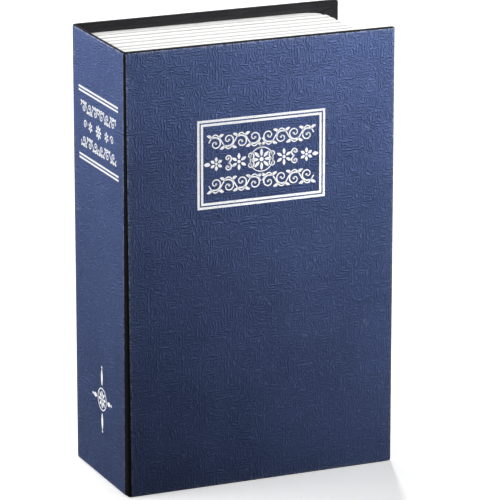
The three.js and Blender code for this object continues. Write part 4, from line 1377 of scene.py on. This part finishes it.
def ring_skin(centre, radius, z0, z1):
    """A code ring: a chamfered ring with a bore and a notch on one side, cut flat."""
    def notched(angle, reach):
        flat = (radius - NOTCH_DEPTH) / np.maximum(-np.cos(angle), 1e-3)
        return np.where(reach > AXLE_BORE, np.minimum(reach, flat), reach)
    soft = 0.15
    profile = [(AXLE_BORE, z0), (radius - soft, z0), (radius, z0 + soft), (radius, z1 - soft),
               (radius - soft, z1), (AXLE_BORE, z1)]
    return turned(profile, centre, angles=96, radius=notched)


def number_outlines(height):
    """Flat meshes of the numbers 0 to 9 in Blender's own plain font, each cut into upright strips."""
    shapes = []
    for number in range(NUMBERS):
        text = bpy.data.curves.new("number", "FONT")
        text.body = str(number)
        text.size = height / CAP_SHARE
        text.align_x = "CENTER"
        text.resolution_u = 4
        holder = held("number", text)
        bpy.context.view_layer.update()
        mesh = bpy.data.meshes.new_from_object(holder.evaluated_get(bpy.context.evaluated_depsgraph_get()))
        work = bmesh.new()
        work.from_mesh(mesh)
        bmesh.ops.remove_doubles(work, verts=work.verts, dist=0.001)
        for cut in np.linspace(-height * 0.4, height * 0.4, settings("box").number_steps):
            bmesh.ops.bisect_plane(work, geom=work.verts[:] + work.edges[:] + work.faces[:],
                                   plane_co=(cut, 0, 0), plane_no=(1, 0, 0))
        shapes.append(work)
        bpy.data.objects.remove(holder)
        bpy.data.meshes.remove(mesh)
    return shapes


def wheel_numbers(name, shapes, centre, radius, body):
    """The ten numbers bent round a wheel: a point's u becomes an angle and its v a height along the axis."""
    work = bmesh.new()
    for number, shape in enumerate(shapes):
        middle = -math.pi / 2 + number * 2 * math.pi / NUMBERS
        low = min(v.co.y for v in shape.verts)
        high = max(v.co.y for v in shape.verts)
        reach = radius + NUMBER_RISE
        spots = {}
        for vert in shape.verts:
            angle = middle + vert.co.x / radius
            spots[vert.index] = work.verts.new((
                (centre[0] + reach * math.cos(angle)) * MM, (centre[1] + reach * math.sin(angle)) * MM,
                (centre[2] + vert.co.y - (low + high) / 2) * MM))
        for face in shape.faces:
            work.faces.new([spots[v.index] for v in face.verts])
    # The faces have no normals yet, so this doubles them but gives them no thickness: a known fault.
    # With work.normal_update() before it, the numbers would be NUMBER_THICK thick.
    bmesh.ops.solidify(work, geom=work.faces[:], thickness=NUMBER_THICK * MM)
    bmesh.ops.recalc_face_normals(work, faces=work.faces)
    mesh = bpy.data.meshes.new(name)
    work.to_mesh(mesh)
    work.free()
    seat(placed(name, mesh, finish("number_enamel")), body, "black_plastic")


class BOOKSAFE_OT_wheels(bpy.types.Operator):
    """Make the three numbered wheels and their code rings"""
    bl_idname = "book_safe.wheels"
    bl_label = "Numbered wheels"

    def execute(self, context):
        shapes = number_outlines(settings("box").number_height / MM)
        for shape in shapes:
            shape.verts.index_update()
        for i in (1, 2, 3):
            body = f"wheel_{i}"
            low, high = box_mm(f"dial_{i}")
            centre, radius = (low + high) / 2, (high[1] - low[1]) / 2
            skin = wheel_skin(centre, radius, low[2], high[2])
            drum = add_mesh(f"{body}_drum", [skin], finish("dial_metal"), sharp=35)
            seat(drum, body, "dial_metal", f"dial_{i}")
            wheel_numbers(f"{body}_numbers", shapes, centre, radius, body)
            low, high = box_mm(f"code_ring_{i}")
            skin = ring_skin(centre, (high[1] - low[1]) / 2, low[2], high[2])
            seat(add_mesh(f"code_ring_{i}_turned", [skin], finish("brass")), body, "brass", f"code_ring_{i}")
        for shape in shapes:
            shape.free()
        return {"FINISHED"}


def index_marks():
    """A small triangle on each side of each wheel's window, as thin skins on the bezel's face."""
    face = box_mm("lock_bezel")[0][1]
    marks = []
    for i in (1, 2, 3):
        middle = sum(box_mm(f"dial_{i}")) / 2
        for side in (-1, 1):
            tip, level = middle[0] + side * MARK_OUT, middle[2]
            path = [(tip + side * 1.9, level), (tip + side * 0.9, level), (tip, level)]
            marks.append(raised(ribbon(path, [1.9, 1.0, 0.1]), on_cover, face, -1))
    return marks


class BOOKSAFE_OT_lock(bpy.types.Operator):
    """Finish the lock's bezel, housing, cover, axle, spring, bolt, knob and reset lever"""
    bl_idname = "book_safe.lock"
    bl_label = "Lock"

    def execute(self, context):
        for part in LOCK_PARTS:
            eased(*part)
        seat(add_mesh("wheel_index_marks", index_marks(), finish("index_paint")), "lid", "black_plastic")
        upright_pin("dial_axle", "lid", lambda radius, foot, head: [
            (0, foot), (radius, foot), (radius, head - PIN_CHAMFER), (radius - PIN_CHAMFER, head), (0, head)])
        return {"FINISHED"}


# Stage

# Where the camera looks, in metres, how far the floor reaches and how thick it is, in mm, and its grey under
# scattered light and its own light towards the camera
CAMERA_TARGET = (0.0073, 0, 0.0871)
FLOOR_REACH = 4000.0
FLOOR_THICK = 10
FLOOR_GREY = 0.17
FLOOR_GLOW = 0.51

# Each lamp's name, place, target and side in metres, the spread of its beam in degrees, and its watts
LAMPS = (
    ("back_right", (0.75, 2.1, 2.2), (0, 0, 0.05), 0.2, 180, 42),
    ("back_left", (0.0, 1.4, 1.2), (0, 0, 0.1), 0.3, 180, 11),
    ("front_right", (0.17, -0.3, 0.36), (0.08, -0.03, 0.26), 0.15, 70, 0.355),
    ("spine_side", (-0.35, 0.06, 0.4), (-0.05, 0.03, 0.22), 0.2, 80, 0.42),
    ("front_low", (0.2, -0.5, 0.02), (0.1, -0.03, 0.02), 0.12, 30, 0.03),
)


def soft_lamp(name, place, target, size, spread, watts):
    """A square area lamp at a place, looking at a target and hidden from the camera."""
    lamp = bpy.data.lights.new(name, "AREA")
    lamp.shape = "SQUARE"
    lamp.size = size
    lamp.spread = math.radians(spread)
    lamp.energy = watts
    holder = held(name, lamp)
    holder.location = place
    holder.rotation_euler = (Vector(target) - Vector(place)).to_track_quat("-Z", "Y").to_euler()
    holder.visible_camera = False


def seen_directly(tree):
    """1 for a ray from the camera, or one that a mirror or glass passes on, and 0 for scattered light."""
    seen = put(tree, "LightPath").outputs
    through = calc(tree, "MAXIMUM", seen["Is Glossy Ray"], seen["Is Transmission Ray"])
    return calc(tree, "MAXIMUM", seen["Is Camera Ray"], through)


def white_floor(name):
    """A floor that reads white to the camera and still takes a shadow, but throws little light back up."""
    made = Finish(name, 0.9, specular=0.0)
    tree = made.tree
    pale = made.mix(noise(tree, made.vector, 0.02, 2.0), settings("stage").floor, 0.99, 1.0)
    direct = seen_directly(tree)
    made.link("Base Color", blend_colour(tree, direct, rgba([FLOOR_GREY] * 3), pale))
    made.shader.inputs["Emission Color"].default_value = (1, 1, 1, 1)
    made.link("Emission Strength", calc(tree, "MULTIPLY", direct, FLOOR_GLOW))
    return made.material


class BOOKSAFE_OT_stage(bpy.types.Operator):
    """Set the floor, the lamps, the surrounding light and the camera"""
    bl_idname = "book_safe.stage"
    bl_label = "Stage"

    def execute(self, context):
        stage = settings("stage")
        edge = lines(-FLOOR_REACH, FLOOR_REACH, 400, (0, 1, 2))
        u, v = np.meshgrid(edge, edge, indexing="ij")
        skin = shell(np.stack([u, v, 0 * u], -1), np.stack([u, v, 0 * u - FLOOR_THICK], -1))
        add_mesh("studio_floor", [skin], white_floor("studio_floor"))

        for lamp in LAMPS:
            soft_lamp(*lamp)

        world = bpy.data.worlds.new("white_room")
        context.scene.world = world
        world.use_nodes = True
        tree = world.node_tree
        tree.nodes.clear()
        strength = calc(tree, "MULTIPLY_ADD", seen_directly(tree), 1.0 - stage.fill, stage.fill)
        light = put(tree, "Background", {"Color": (1, 1, 1, 1), "Strength": strength})
        tree.links.new(light.outputs[0], put(tree, "OutputWorld").inputs[0])

        camera = bpy.data.cameras.new("camera")
        camera.lens = stage.lens
        camera.sensor_width = 36
        camera.clip_end = 20
        holder = held("camera", camera)
        level = math.cos(stage.lift)
        away = Vector((math.sin(stage.turn) * level, -math.cos(stage.turn) * level, math.sin(stage.lift)))
        holder.location = Vector(CAMERA_TARGET) + away * stage.distance
        holder.rotation_euler = away.to_track_quat("Z", "Y").to_euler()
        context.scene.camera = holder
        context.scene.view_settings.view_transform = "Standard"
        return {"FINISHED"}


STEPS = (BOOKSAFE_OT_boards, BOOKSAFE_OT_papers, BOOKSAFE_OT_joints, BOOKSAFE_OT_foil, BOOKSAFE_OT_pages,
         BOOKSAFE_OT_box, BOOKSAFE_OT_fasteners, BOOKSAFE_OT_wheels, BOOKSAFE_OT_lock, BOOKSAFE_OT_stage)
GROUPS = {"case": BookSafeCase, "pages": BookSafePages, "box": BookSafeBox, "stage": BookSafeStage}


class BOOKSAFE_PT_panel(bpy.types.Panel):
    """Steps and settings of the book safe, in the sidebar"""
    bl_label = "Book safe"
    bl_idname = "BOOKSAFE_PT_panel"
    bl_space_type = "VIEW_3D"
    bl_region_type = "UI"
    bl_category = "Book safe"

    def draw(self, context):
        for step in STEPS:
            self.layout.operator(step.bl_idname)
        for name, group in GROUPS.items():
            column = self.layout.box().column()
            for key in group.__annotations__:
                column.prop(settings(name), key)


def register():
    """Registers the settings, the steps and the panel, and gives each scene its settings."""
    for made in (*GROUPS.values(), *STEPS, BOOKSAFE_PT_panel):
        bpy.utils.register_class(made)
    for name, group in GROUPS.items():
        setattr(bpy.types.Scene, "book_safe_" + name, PointerProperty(type=group))


def unregister():
    """Takes back what register made."""
    for name in GROUPS:
        delattr(bpy.types.Scene, "book_safe_" + name)
    for made in (BOOKSAFE_PT_panel, *reversed(STEPS), *reversed(GROUPS.values())):
        bpy.utils.unregister_class(made)


def main():
    """Runs the steps one after another."""
    register()
    for step in STEPS:
        getattr(bpy.ops.book_safe, step.bl_idname.split(".")[1])()


if __name__ == "__main__":
    main()
